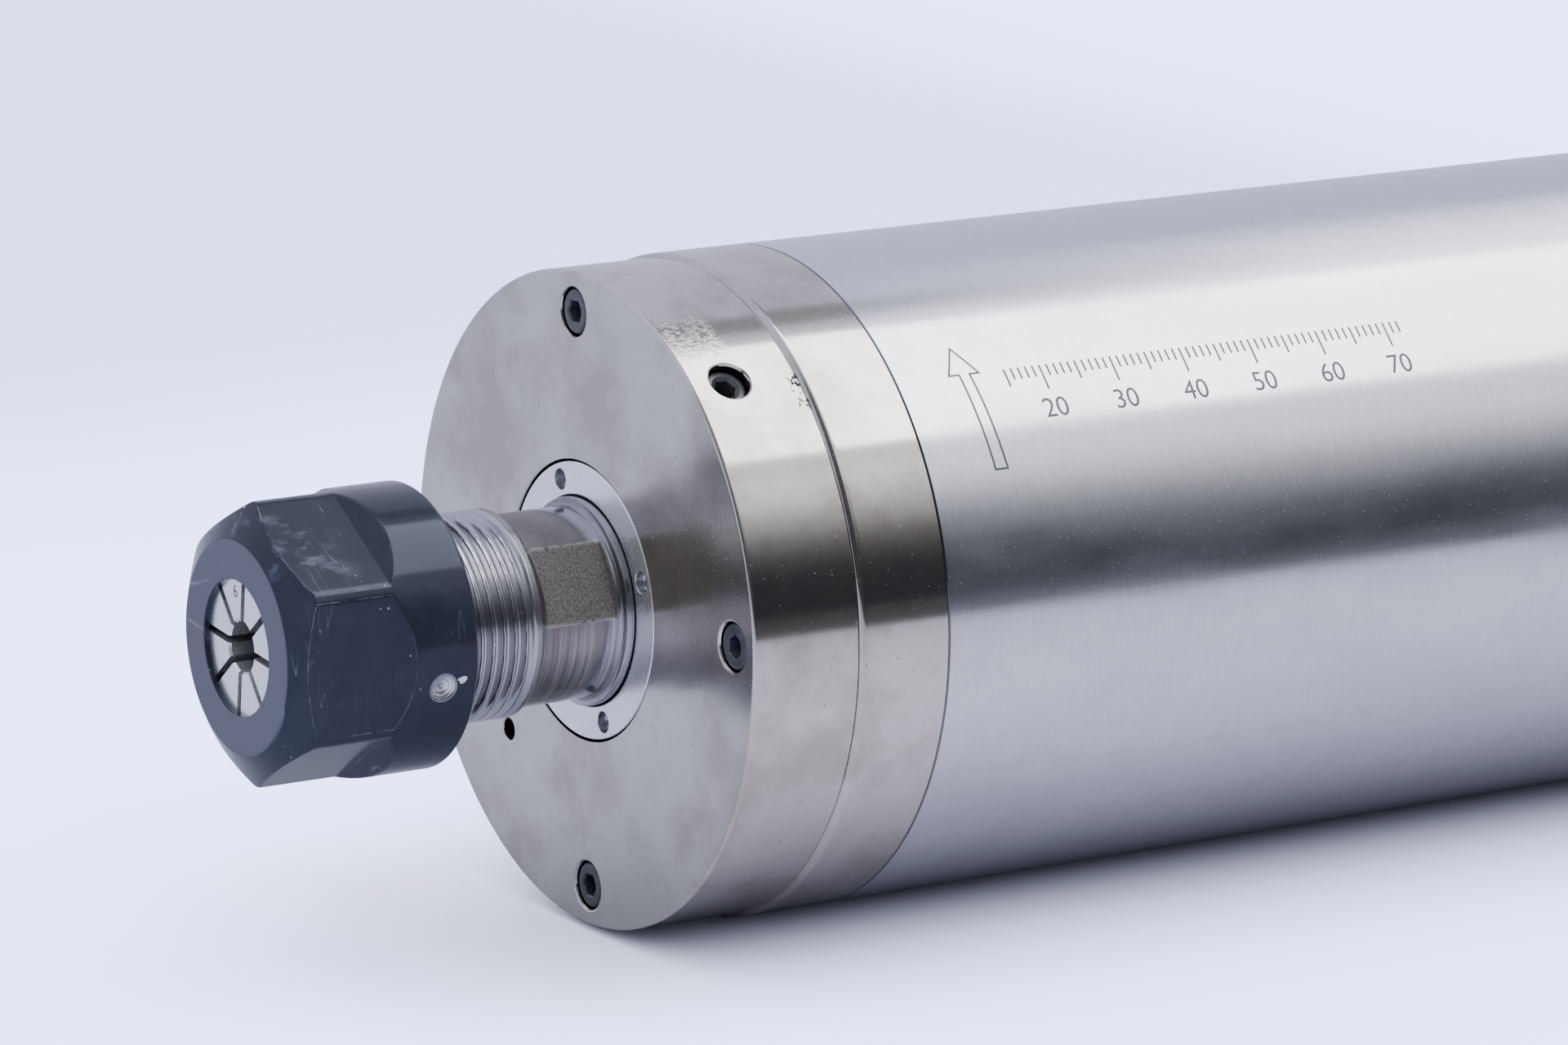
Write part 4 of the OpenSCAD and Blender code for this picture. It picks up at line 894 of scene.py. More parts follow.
counterbore = bevelled(2.95, 3.25, 0.28)
cover_outline = outline([
    (16.93, 0, 0.25, 0.5), (COVER_R, 0, 0.5, 0.5), (COVER_R, COVER_REAR, 0.12, 0), (23.49, COVER_REAR),
    (23.49, 16.1), (20.7, 16.1), (19.5, 14.9), (15.58, 14.9), (15.58, 9.8),
    (16.93, 9.8), (16.93, 6.6), (17.73, 6.6), (17.73, 5.4), (16.93, 5.4),
    (16.93, 3.9), (17.73, 3.9), (17.73, 2.7), (16.93, 2.7)])
turned_piece("plated_front_cover", "housing", "plated_steel", "front_cover", cover_outline,
             holes=screw_holes(SCREW_TURNS, 0, counterbore, 1) + [
                 (-131.9, 26.0, 0, bevelled(1.35, 8.0, 0.12), 1),
                 (PORT_TURN, COVER_R, PORT_S, bevelled(2.5, 7.8, 0.3))])

# %% [markdown]
# ## The front housing and the tube
# Behind the cover sits the flange of the front housing, which holds the front bearings, and then the
# ground tube. The flange's front edge is rounded by 1 mm and catches the widest highlight; tube and
# flange meet in chamfers of 0.15 mm. Both are turned like the cover.

# %% Front housing and tube
TUBE_R, TUBE_END, CHAMFER = 40.0, 212.0, 0.15
housing_outline = outline([
    (23.51, COVER_REAR, 0, 0.5), (TUBE_R, COVER_REAR, 1.0, 1.0), (TUBE_R, FLANGE_END - CHAMFER),
    (TUBE_R - CHAMFER, FLANGE_END), (36.99, FLANGE_END), (36.99, 38.2), (31.99, 38.2), (31.99, 50.1),
    (19.5, 50.1), (19.5, 45.1), (23.51, 45.1)])
turned_piece("plated_front_housing", "housing", "plated_steel", "front_housing", housing_outline,
             holes=screw_holes(SCREW_TURNS, COVER_REAR, bevelled(1.51, 9.5, 0.1), 1))

tube_outline = outline([
    (37, FLANGE_END), (TUBE_R - CHAMFER, FLANGE_END), (TUBE_R, FLANGE_END + CHAMFER, 0, 4.0),
    (TUBE_R, TUBE_END - CHAMFER), (TUBE_R - CHAMFER, TUBE_END), (37, TUBE_END, 0, 12.0)])
turned_piece("ground_body_tube", "housing", "body_metal", "body_tube", tube_outline)

# %% [markdown]
# ## Socket screws
# Each cap screw is turned, its hexagon socket is broached, and its head is blackened. A boolean could
# cut the socket, but it is simpler to make it part of the same grid: between the chamfer and the floor
# the radius at an angle is that of a hexagon. The head's rim is a quarter circle of seven points.

# %% Socket screws
SOCKET_FLAT, SOCKET_ANGLES, SUNK = 1.25, 96, 0.25


def hexagon(angles, flat):
    """Radius of a hexagon with flats `flat` from its centre: flat / cos(a mod 60 degrees, centred)."""
    return flat / np.cos((angles + TAU / 12) % (TAU / 6) - TAU / 12)


def along_axis(turn, r, s, way):
    """Origin and directions for a piece turned about a line parallel to the spindle's axis."""
    place, out, side = around(turn, r, s)
    return place, out, side, way * Y_WAY


def spin_socketed(skin, rows, axis):
    """Spins rows of (radius, depth) or (radius, depth, 1); a 1 counts the radius in hexagons."""
    angles = even_angles(SOCKET_ANGLES)
    rows = [(*row, 0)[:3] for row in rows]
    radii = [hexagon(angles, SOCKET_FLAT) * r if six else np.full(SOCKET_ANGLES, r) for r, _, six in rows]
    spin(skin, np.stack(radii), [depth for _, depth, _ in rows], angles, axis, closed=False)


def socket_screw(skin, axis, grip):
    """A cap screw: rows from its socket's floor out over the head and down the shank to its tip."""
    rows = [(0.6, 1.9), (1.0, 1.65, 1), (1.0, 1.6, 1), (1.0, 0.22, 1), (1.0, 0.16, 1), (1.56, 0.0),
            (1.62, 0.0), (2.22, 0.0)]
    rows += [(2.27 + 0.48 * math.sin(b), 0.48 - 0.48 * math.cos(b)) for b in np.linspace(0, TAU / 4, 7)]
    rows += [(2.75, 0.55), (2.75, 3.0), (1.5, 3.0), (1.5, 2.6 + grip), (1.1, 3.0 + grip)]
    spin_socketed(skin, rows, axis)


def screw_set(name, turns, s, way, grip, stands_for):
    """One piece of four screws on the screws' circle."""
    screws = Skin()
    for turn in turns:
        socket_screw(screws, along_axis(turn, SCREW_R, s, way), grip)
    screws.piece(name, "housing", "black_oxide", stands_for)


screw_set("front_socket_screws", SCREW_TURNS, SUNK, 1, 19.0, "front_cover_screws")

# %% [markdown]
# ## The port's plug
# The port in the cover's side is closed by a grub screw, sunk 1.3 mm below the surface. It has the
# same socket as the screws, so the same function turns it, about a line that points to the axis.

# %% Port plug
PLUG_DEPTH = 1.3
plug_place, plug_out, plug_side = around(PORT_TURN, COVER_R - PLUG_DEPTH, PORT_S)
plug = Skin()
spin_socketed(plug, [(0.5, 3.3), (1.0, 3.0, 1), (1.0, 0.35, 1), (1.75, 0.0), (2.3, 0.0), (2.49, 0.2),
                     (2.49, 5.8), (2.2, 6.0)], (plug_place, plug_side, Y_WAY, -plug_out))
plug.piece("port_grub_screw", "housing", "black_oxide", "cover_port_plug")

# %% [markdown]
# ## The ring nut
# A bright turned ring closes the gap between the shaft and the cover and turns with the shaft. Four
# shallow holes in its face take a pin spanner, and two grooves in its rim form the other half of the
# labyrinth. It is turned and drilled like the cover, with a wider bevel at its bore.

# %% Ring nut
ring_outline = outline([
    (12.51, 0.2, 0.3, 0.2), (16.65, 0.2, 0.2, 0), (16.65, 2.9), (15.85, 2.9), (15.85, 4.1),
    (16.65, 4.1), (16.65, 5.6), (15.85, 5.6), (15.85, 6.8), (16.65, 6.8),
    (16.65, 9.2), (15.3, 9.2), (15.3, 16.1), (12.51, 16.1)])
pin_hole = [(1.38, 0), (1.34, 0), (1.30, 0.05), (1.30, 1.1), (1.2, 1.2), (0.6, 1.2)]
turned_piece("pin_holed_ring_nut", "rotor", "bright_steel", "ring_nut", ring_outline, even_angles(300),
             holes=[(19.4 + 90 * quarter, 14.67, 0.2, pin_hole, 1) for quarter in range(4)])

# %% [markdown]
# ## The collet nut
# The real nut is turned, chamfered at 30 degrees, milled with six flats that run out in slopes, and
# then burnished, which leaves every edge a little round. Its outside is worked out as one radius for
# each angle and station: the smallest of the cylinder, the front cone and the six flats, taken with a
# soft minimum so that the edges between them come out rounded. The inside is a plain turned outline.

# %% The nut's outside as one formula
FAR, EDGE_WIDTH, DIMPLE_DEEP = 99.0, 0.06, 0.85


def soft_least(surfaces, width):
    """A rounded minimum of several arrays: -width * log(sum(exp(-value / width)))."""
    stack = np.stack(surfaces)
    least = stack.min(0)
    return least - width * np.log(np.exp(-(stack - least) / width).sum(0))


def nut_radius(angles, stations):
    """The least of cylinder, front cone and rear chamfer, both straight lines of the station, and the
    six flats, each flat / cos(angle to it), less the cone drilled at the balance mark."""
    a, s = np.meshgrid(angles, stations)
    surfaces = [np.full_like(a, NUT_ROUND), NUT_FACE_R + 0.02 + (s - NUT_FRONT) * CONE_RISE,
                NUT_ROUND - 0.4 + (NUT_REAR - s)]
    slope = np.maximum(NUT_FLAT, NUT_FLAT + s - FLAT_END)
    for k in range(6):
        facing = np.cos(a - math.radians(NUT_TURN + 60.0 * k))
        surfaces.append(np.where(facing > 0.3, slope / np.maximum(facing, 0.3), FAR))
    away = np.hypot((a - math.radians(DIMPLE_TURN)) * NUT_ROUND, s - DIMPLE_S)
    share = np.clip(1.0 - away / DIMPLE_R, 0.0, 1.0)
    return soft_least(surfaces, EDGE_WIDTH) - DIMPLE_DEEP * share ** 0.75


print("the nut is", round(float(nut_radius(np.array([math.radians(NUT_TURN)]), np.array([-38.0]))[0, 0]), 2),
      "mm thick to a flat at station -38")

# %% [markdown]
# ## The nut's grid
# An even grid would need millions of cells to show the sharp corners, so the rows and columns are
# close together only where the shape bends: at the chamfer, the flats' run-out, the drilled mark and
# the six corners. The lip at the front is an outline of its own, with its rounding.


# %% Collet nut
def merged(*parts):
    """The values of several ranges in order, without near repeats."""
    values = np.sort(np.concatenate([np.ravel(p) for p in parts]))
    return values[np.concatenate([[True], np.diff(values) > 1e-4])]


corner_turns = NUT_TURN + 30 + 60 * np.arange(-3, 3)
near_corner = np.array([-0.9, -0.5, -0.28, -0.12, 0, 0.12, 0.28, 0.5, 0.9])
nut_angles = np.radians(merged(np.arange(-180.0, 180.0, 0.9), np.arange(-19.0, -5.8, 0.4),
                               corner_turns[:, None] + near_corner))
nut_rows = merged(np.arange(NUT_FRONT + 0.03, -40.6, 0.1), np.arange(-40.6, -33.7, 0.45),
                  np.arange(-33.7, -30.6, 0.14), np.arange(-30.6, NUT_REAR - 0.6, 0.5),
                  np.arange(-29.8, -25.8, 0.13), np.linspace(NUT_REAR - 0.6, NUT_REAR - 0.02, 8))
lip = outline([(8.0, -45.2), (8.0, NUT_FRONT, 0.18, 0.5), (NUT_FACE_R - 0.3, NUT_FRONT),
               (NUT_FACE_R - 0.1, NUT_FRONT)])[:-1]
bore = np.array([(16.3, NUT_REAR), (13.14, NUT_REAR), (12.54, -23.7), (12.54, -38.8), (10.54, -38.8),
                 (10.54, -38.99), (9.24, -41.35), (9.3, -43.15), (10.05, -43.15), (10.05, -45.2)])
nut_radii = np.vstack([np.repeat(lip[:, :1], len(nut_angles), 1), nut_radius(nut_angles, nut_rows),
                       np.repeat(bore[:, :1], len(nut_angles), 1)])
nut = Skin()
spin(nut, nut_radii, np.concatenate([lip[:, 1], nut_rows, bore[:, 1]]), nut_angles)
nut.piece("burnished_collet_nut", "nut", "burnished_steel", "collet_nut", crease=40.0)

# %% [markdown]
# ## The shaft's nose
# The nose carries a fine right-hand thread for the nut, a necked part with two wrench flats and a
# small bead before the ring nut. A thread is a radius that depends on how far a point is along the
# pitch once its angle is taken off, so the same grid of angles and stations can make the thread, the
# flats and the plain seats in one closed skin. The taper for the collet is turned inside.

# %% The shaft's outside as one formula
PITCH, THREAD_TOP, THREAD_DEEP = 1.5, 12.45, 0.78
THREAD_FROM, THREAD_TO = -38.4, -12.3
CREST, GROOVE_POWER = 0.14, 1.15


def thread_height(phase):
    """1 on a narrow crest, falling over a crisp edge into a wide round groove: 1 - sin(u 90 deg)^1.15."""
    away = np.abs(phase - 0.5) * 2.0
    return 1.0 - np.sin(np.clip((away - CREST) / (1 - CREST), 0.0, 1.0) * TAU / 4) ** GROOVE_POWER


def shaft_outer(angles, stations, plain):
    """The least of the plain turned radius, the thread at (s + pitch * turns) / pitch, and between
    their end walls the two flats, each flat / cos(angle to it)."""
    a, s = np.meshgrid(angles, stations)
    radius = np.repeat(plain[:, None], len(angles), 1)
    phase = np.mod((s + PITCH * a / TAU) / PITCH, 1.0)
    fade = np.clip((-12.9 - s) / 0.9, 0.0, 1.0)
    threaded = THREAD_TOP - THREAD_DEEP * (1.0 - thread_height(phase)) * fade
    radius = np.where((s < THREAD_TO) & (s > THREAD_FROM), np.minimum(radius, threaded), radius)
    for side in (0.0, math.pi):
        facing = np.cos(a - FLAT_TURN - side)
        flat = np.where(facing > 0.5, FLAT_OUT / np.maximum(facing, 0.5), FAR)
        radius = np.where((s > FLAT_FROM) & (s < FLAT_TO), np.minimum(radius, flat), radius)
    return radius


print("thread of", PITCH, "mm pitch between stations", THREAD_FROM, "and", THREAD_TO)

# %% [markdown]
# ## The shaft's grid
# A row lies just before and just after each end wall of the flats, and a column on each of their
# edges, so the walls come out steep and the edges straight. Near the part of the thread that shows,
# the rows are 0.05 mm apart; under the nut they are twice that.

# %% Spindle shaft
half_flat = math.acos(FLAT_OUT / NECK_R)
flat_edges = np.mod([FLAT_TURN + half_turn + aside for half_turn in (0, math.pi)
                     for aside in (half_flat, -half_flat)], TAU)
shaft_angles = merged(even_angles(160), flat_edges)
thread_s = merged(np.arange(-38.3, -24.0, 0.1), np.arange(-24.0, -12.3, 0.05))
bend = np.linspace(0, TAU / 4, 9)
outer_rows = np.vstack([
    [(11.9, THREAD_FROM)], np.column_stack([np.minimum(12.5, 12.0 + (thread_s + 38.3)), thread_s]),
    [(THREAD_TOP, THREAD_TO), (11.55, -11.35), (NECK_R, -11.25)],
    [(NECK_R, s) for s in (FLAT_FROM - 0.001, FLAT_FROM + 0.001, -11.0, *np.arange(-10.0, -1.8, 1.0),
                           -1.8, FLAT_TO - 0.001, FLAT_TO + 0.001)],
    np.column_stack([12.2 - 0.7 * np.cos(bend), -1.55 + 0.7 * np.sin(bend)]),
    np.column_stack([12.25 + 0.25 * np.sin(bend), -0.60 - 0.25 * np.cos(bend)]),
    [(12.5, 45.1), (15.5, 45.1), (15.5, 51.1), (13.0, 51.1), (13.0, 161.0), (9.5, 164.5), (9.5, 178.0),
     (7.5, 178.0), (7.5, 208.4), (6.9, 209.0), (2.5, 209.0)]])
inner_rows = np.array([(0.5, 13.095), (6.483, 9.5), (6.483, -12.5), (6.823, -12.5), (10.463, THREAD_FROM)])
shaft_radii = np.vstack([np.repeat(inner_rows[:, :1], len(shaft_angles), 1),
                         shaft_outer(shaft_angles, outer_rows[:, 1], outer_rows[:, 0]),
                         np.full((1, len(shaft_angles)), 0.2)])
shaft = Skin()
spin(shaft, shaft_radii, np.concatenate([inner_rows[:, 1], outer_rows[:, 1], [205.0]]), shaft_angles,
     closed=False)
shaft.piece("threaded_spindle_shaft", "rotor", "shaft_steel", "spindle_shaft", crease=24.0)

# %% [markdown]
# ## The rear housing and cover
# Nothing of the rear shows in the photograph, but the part is looked at from all sides. The housing
# and its cover are turned and drilled like the front ones, with the four screws at other angles and
# two wide holes where the coolant hoses go in.

# %% Rear housing and cover
HOUSING_END, GASKET, REAR_FACE, HOSE_TURNS, HOSE_R = 221, 0.5, 235, (66, 114), 31.0
rear_outline = outline([
    (12.0, 172), (20.5, 172), (20.5, 188), (31.99, 188), (31.99, 200), (36.99, 200),
    (36.99, TUBE_END), (TUBE_R - CHAMFER, TUBE_END), (TUBE_R, TUBE_END + CHAMFER, 0, 1.0),
    (TUBE_R, HOUSING_END, 1.0, 0.5), (16.01, HOUSING_END), (16.01, 176), (12.0, 176)])
turned_piece("plated_rear_housing", "housing", "plated_steel", "rear_housing", rear_outline,
             holes=screw_holes(REAR_TURNS, HOUSING_END, bevelled(1.51, 8.5, 0.1), -1))

rear_rows = np.vstack([[(1.5, 228.5), (25.5, 228.5)], outline([
    (25.5, HOUSING_END + GASKET), (COVER_R, HOUSING_END + GASKET, 0.1, 0),
    (COVER_R, REAR_FACE, 0.5, 0.5), (1.5, REAR_FACE)])])
hose_hole = bevelled(4.81, 5.5, 0.15)
turned_piece("plated_rear_cover", "housing", "plated_steel", "rear_cover", rear_rows, closed=False,
             holes=screw_holes(REAR_TURNS, REAR_FACE, counterbore, -1) + [
                 (turn, HOSE_R, REAR_FACE, hose_hole, -1) for turn in HOSE_TURNS])
screw_set("rear_socket_screws", REAR_TURNS, REAR_FACE - SUNK, -1, 18.0, "rear_cover_screws")

# %% [markdown]
# ## The hose nuts
# Coolant comes in through two hoses, each held by a nut that is tightened by hand, so its outside is
# knurled. Two crossing helices pressed into a cylinder leave diamonds. Their product, one wave leaning
# left and one leaning right, is that shape as a radius, and it needs no displacement modifier.

# %% Knurled hose nuts
KNURLS, KNURL_DEEP, KNURL_LEAN = 36, 0.35, TAU / 2.6
KNURL_FROM, KNURL_TO, HOSE_NUT_R = 242.8, 253.2, 7.0


def knurl(angles, stations):
    """Diamonds: depth * (sqrt(|sin(turn + lean)| * |sin(turn - lean)|) - 1), faded out at both ends."""
    a, s = np.meshgrid(angles, stations)
    turn, lean = KNURLS * a / 2, KNURL_LEAN * s / 2
    cross = np.abs(np.sin(turn + lean)) * np.abs(np.sin(turn - lean))
    fade = np.clip((s - KNURL_FROM) / 0.4, 0, 1) * np.clip((KNURL_TO - s) / 0.4, 0, 1)
    return KNURL_DEEP * (np.sqrt(cross) - 1.0) * fade


nut_side = merged(np.arange(242.2, 253.8, 0.22))
hose_rows = np.vstack([[(5.01, 241.4), (6.5, 241.4), (6.85, 241.5), (HOSE_NUT_R, 241.8)],
                       np.column_stack([np.full(len(nut_side), HOSE_NUT_R), nut_side]),
                       [(HOSE_NUT_R, 254.0), (6.0, 255.4), (5.6, 255.5), (4.75, 255.5), (4.4, 255.35),
                        (4.25, 255.0), (4.25, 251.5), (5.01, 249.0)]])
hose_angles = even_angles(288)
hose_radii = hose_rows[:, :1] + knurl(hose_angles, hose_rows[:, 1]) * (hose_rows[:, :1] > HOSE_NUT_R - 0.01)
hose_nuts = Skin()
for turn in HOSE_TURNS:
    spin(hose_nuts, hose_radii, hose_rows[:, 1], hose_angles, along_axis(turn, HOSE_R, 0, 1))
hose_nuts.piece("knurled_hose_nuts", "housing", "bright_plating", "hose_nuts", crease=50.0)

# %% [markdown]
# ## The power socket's shell
# The plug's coupling ring screws onto a fine thread on the socket's shell, and a key inside the shell
# stops the plug from going in turned. The thread is a plain V, so a triangle wave of the phase will
# do, and the key is a step in the radius over a few degrees.

# %% Threaded power socket
SOCKET_PITCH, SHELL_R, SHELL_BORE = 1.0, 8.0, 6.7
shell_side = np.arange(237.4, 245.7, 0.1)
shell_rows = np.vstack([[(SHELL_BORE, 224.0), (SHELL_R, 224.0), (SHELL_R, 234.9), (SHELL_R, REAR_FACE),
                         (10.3, REAR_FACE), (10.5, 235.2), (10.5, 236.8), (10.3, 237.0), (SHELL_R, 237.0)],
                        np.column_stack([np.full(len(shell_side), SHELL_R), shell_side]),
                        [(7.8, 245.8), (7.5, 246.0), (6.9, 246.0), (SHELL_BORE, 245.8), (SHELL_BORE, 238.05),
                         (SHELL_BORE, 238.0)]])
shell_angles = even_angles(144)
shell_a, shell_s = np.meshgrid(shell_angles, shell_rows[:, 1])
# The thread takes 0.32 mm * (1 - |2 phase - 1|) off the radius; the key puts 0.6 mm on inside.
shell_phase = np.mod((shell_s - REAR_FACE + SOCKET_PITCH * shell_a / TAU) / SOCKET_PITCH, 1.0)
shell_cut = 0.32 * (1 - np.abs(shell_phase - 0.5) * 2) * np.clip((shell_s - 237.5) / 0.3, 0, 1)
on_thread = (shell_rows[:, :1] > SHELL_R - 0.01) & (shell_s > 237.4) & (shell_s < 245.75)
at_key = np.abs((shell_a + math.pi) % TAU - math.pi) < 0.9 / SHELL_BORE
key = at_key & (shell_rows[:, :1] < SHELL_BORE + 0.25) & (shell_s > 238.02)
socket = Skin()
spin(socket, shell_rows[:, :1] - shell_cut * on_thread + 0.6 * key, shell_rows[:, 1], shell_angles,
     along_axis(-90, 15.0, 0, 1))
socket.piece("threaded_socket_shell", "housing", "bright_plating", "socket_shell", crease=30.0)

# %% [markdown]
# ## Engraved marks
# A spindle's body carries an arrow for its direction of turning. Beside it stands a plain depth scale
# in millimetres from the flange, for setting the spindle in its clamp, and the collet shows its bore
# size. All are etched dark grey. Each is a very thin closed plate wrapped onto the surface, because a
# mark made in the material would need its outline written as nodes. A point (t, s) of the flat drawing
# goes to the angle t / 40 mm, at a radius just above the tube's.

# %% Wrapping flat marks onto the tube
MARK_TOP, MARK_BOTTOM = TUBE_R + 0.015, TUBE_R - 0.03
LINE_WIDTH, SIDE_PARTS = 0.26, 24


def wrapped(skin, drawing, radius):
    """Points (t, s) of a drawing at a radius: x = r cos(t / 40), y = s - 26.2, z = r sin(t / 40)."""
    t, s = drawing[..., 0] / TUBE_R, drawing[..., 1]
    return skin.add(np.stack([radius * np.cos(t), s - DATUM, radius * np.sin(t)], -1))


def ribbon(skin, outer, inner):
    """A closed band between two rings of drawing points, with its top, bottom and both sides."""
    ids = np.stack([wrapped(skin, line, r) for line, r in
                    ((outer, MARK_BOTTOM), (outer, MARK_TOP), (inner, MARK_TOP), (inner, MARK_BOTTOM))])
    skin.sheet(np.vstack([ids, ids[:1]]))


def inset(corners, width):
    """Moves every side of a closed drawing inwards by a width and intersects the moved neighbours."""
    following = np.roll(corners, -1, 0)
    ahead = following - corners
    normal = np.stack([-ahead[:, 1], ahead[:, 0]], 1) / np.linalg.norm(ahead, axis=1)[:, None]
    normal = normal * np.sign((corners[:, 0] * following[:, 1] - following[:, 0] * corners[:, 1]).sum())
    before = np.roll(normal, 1, 0)
    return corners + width * (before + normal) / (1 + (before * normal).sum(1))[:, None]


def divided(corners, parts):
    """Splits every side of a closed drawing into the same number of parts."""
    share = (np.arange(parts) / parts)[None, :, None]
    return (corners[:, None] + (np.roll(corners, -1, 0) - corners)[:, None] * share).reshape(-1, 2)


arrow_corners = np.array([(18.95, 35.3), (31.4, 34.9), (31.4, 33.4), (35.67, 35.5), (31.4, 38.0),
                          (31.4, 36.6), (18.95, 37.25)])
arrow = Skin()
ribbon(arrow, divided(arrow_corners, SIDE_PARTS), divided(inset(arrow_corners, LINE_WIDTH), SIDE_PARTS))
arrow.piece("turning_arrow", "housing", "body_metal", finish="etched_mark")

# %% [markdown]
# ## The depth scale
# The scale's ticks stand every millimetre, longer at fives and longest at tens. Each is a narrow strip
# bent onto the tube in eight steps, and closed at both ends.

# %% Depth scale
SCALE_T, FIRST_MM, LAST_MM, HALF_TICK = 31.6, 15, 72, 0.13
marks = np.arange(FIRST_MM, LAST_MM + 1)
lengths = np.where(marks % 10 == 0, 3.4, np.where(marks % 5 == 0, 2.5, 1.6))
scale = Skin()
for mark, length in zip(marks, lengths):
    t = SCALE_T - length * np.linspace(0, 1, 9)[:, None]
    sides = DATUM + mark + HALF_TICK * np.array([-1, 1, 1, -1])
    ids = wrapped(scale, np.stack(np.broadcast_arrays(t, sides), -1),
                  np.array([MARK_TOP, MARK_TOP, MARK_BOTTOM, MARK_BOTTOM]))
    scale.sheet(ids)
    scale.faces += [ids[:1], ids[-1:]]
scale.piece("depth_scale_ticks", "housing", "body_metal", finish="etched_mark")

# %% [markdown]
# ## Plain numbers
# Blender's own font gives the digits as filled curves. They are made a mesh, split once so that they
# can bend, and then their points are wrapped onto the tube like the ticks, or laid flat on the face of
# the collet.

# %% Plain numbers
def flat_text(text, size):
    """A text's filled shape as closed plates: points (x, y, z) with z from -1 to 1, and its faces."""
    curve = bpy.data.curves.new("number", "FONT")
    curve.body, curve.size, curve.align_x, curve.extrude, curve.resolution_u = text, 1.0, "CENTER", 1.0, 5
    holder = into_scene("number", curve)
    bpy.context.view_layer.update()
    solid = bpy.data.meshes.new_from_object(holder.evaluated_get(bpy.context.evaluated_depsgraph_get()))
    work = bmesh.new()
    work.from_mesh(solid)
    bmesh.ops.remove_doubles(work, verts=work.verts, dist=1e-4)
    bmesh.ops.triangulate(work, faces=work.faces)
    bmesh.ops.subdivide_edges(work, edges=work.edges, cuts=1, use_grid_fill=True)
    bmesh.ops.triangulate(work, faces=work.faces)
    work.to_mesh(solid)
    work.free()
    points, faces = np.empty(len(solid.vertices) * 3), np.empty(len(solid.polygons) * 3, np.int64)
    solid.vertices.foreach_get("co", points)
    solid.polygons.foreach_get("vertices", faces)
    bpy.data.objects.remove(holder)
    bpy.data.curves.remove(curve)
    bpy.data.meshes.remove(solid)
    return points.reshape(-1, 3) * [size, size, 1.0], faces.reshape(-1, 3)


numbers = Skin()
for mark in range(20, LAST_MM, 10):
    shape, faces = flat_text(str(mark), 3.6)
    radius = np.where(shape[:, 2] > 0, MARK_TOP, MARK_BOTTOM)
    place = np.stack([SCALE_T - 7.0 + shape[:, 1], DATUM + mark + shape[:, 0]], -1)
    numbers.faces.append(wrapped(numbers, place, radius)[faces])
numbers.piece("depth_scale_numbers", "housing", "body_metal", finish="etched_mark")

shape, faces = flat_text("6", 2.2)
spot, upright, aside = around(101.0, 5.8, -45.2)
size_mark = Skin()
ids = size_mark.add(spot + shape[:, 1:2] * upright - shape[:, :1] * aside
                    + np.where(shape[:, 2:] > 0, -0.012, 0.05) * Y_WAY)
size_mark.faces.append(ids[faces])
size_mark.piece("collet_size_mark", "collet", "bright_steel", finish="etched_mark")

# %% [markdown]
# ## The paper
# A pale sweep of paper carries the spindle. Polished metal shows it as a long band, and in the
# photograph that band is darker than the paper itself looks. One material can be both: Light Path says
# whether a ray comes from the camera or from a mirror-like surface, and each gets its own tone.

# %% Floor
TABLE_EDGE, EDGE_SOFT, FLOOR_HALF = 0.42, 0.005, 6.0


def light_path(tree, label):
    """1 for rays of one kind, such as those that mirror-like surfaces send out."""
    return put(tree, "LightPath", {}, label)


def paper():
    """Cool white paper, with painted shade far off on the left and a greyer painted shade close beside the
    spindle. In mirror-like reflections it is dimmer, and past the table's edge, 0.42 m away towards the
    room, it is dark."""
    shader, vector = new_finish("studio_paper", Roughness=0.6, Specular_IOR_Level=0.2)
    x, y, _, _ = vector.parts()
    # Painted shade: the paper darkens far off on the left.
    far_left_shade = x.ramp(-0.2, -0.36) * y.ramp(0.43, 0.33)
    seen = (vector.noise(7.0) * 0.25 + far_left_shade).colours((0.50, 0.535, 0.95), (0.27, 0.315, 0.53))
    # Painted shade: the paper turns greyer along the spindle's footprint, under and beside it.
    beside = x.within(-0.03, 0.018, 0.035) * y.within(-0.04, 0.22, 0.03)
    seen = seen.painted(beside, (0.44, 0.45, 0.56))
    edge = (x * 0.86 + y * 0.51).ramp(TABLE_EDGE - EDGE_SOFT, TABLE_EDGE + EDGE_SOFT)
    beyond = x.ramp(0.08, 0.28).colours((0.163, 0.155, 0.195), (0.128, 0.121, 0.152))
    mirrored = x.ramp(0.0, 0.05).colours((0.116, 0.121, 0.158), beyond)
    mirrored = mirrored.painted(edge, (0.0028, 0.0030, 0.0042))
    feed(shader, {"Base Color": light_path(x.tree, "Is Glossy Ray").colours(seen, mirrored)})


paper()
floor_z = cad_low[2] - 0.0002
floor_mesh = bpy.data.meshes.new("studio_floor")
floor_mesh.from_pydata([(x * FLOOR_HALF, y * FLOOR_HALF, floor_z)
                        for x, y in ((-1, -1), (1, -1), (1, 1), (-1, 1))], [], [(0, 1, 2, 3)])
floor_mesh.materials.append(FINISHES["studio_paper"])
floor = into_scene("studio_floor", floor_mesh)
print("floor", 2 * FLOOR_HALF, "m wide at height", round(floor_z, 4))

# %% [markdown]
# ## The soft box
# One large soft box hangs over and behind the spindle. On a ground cylinder its reflection is the
# broad bright band along the upper side, so its place and size were found from where that band starts
# and ends in the photograph. An area light is sampled better than a glowing plane would be.

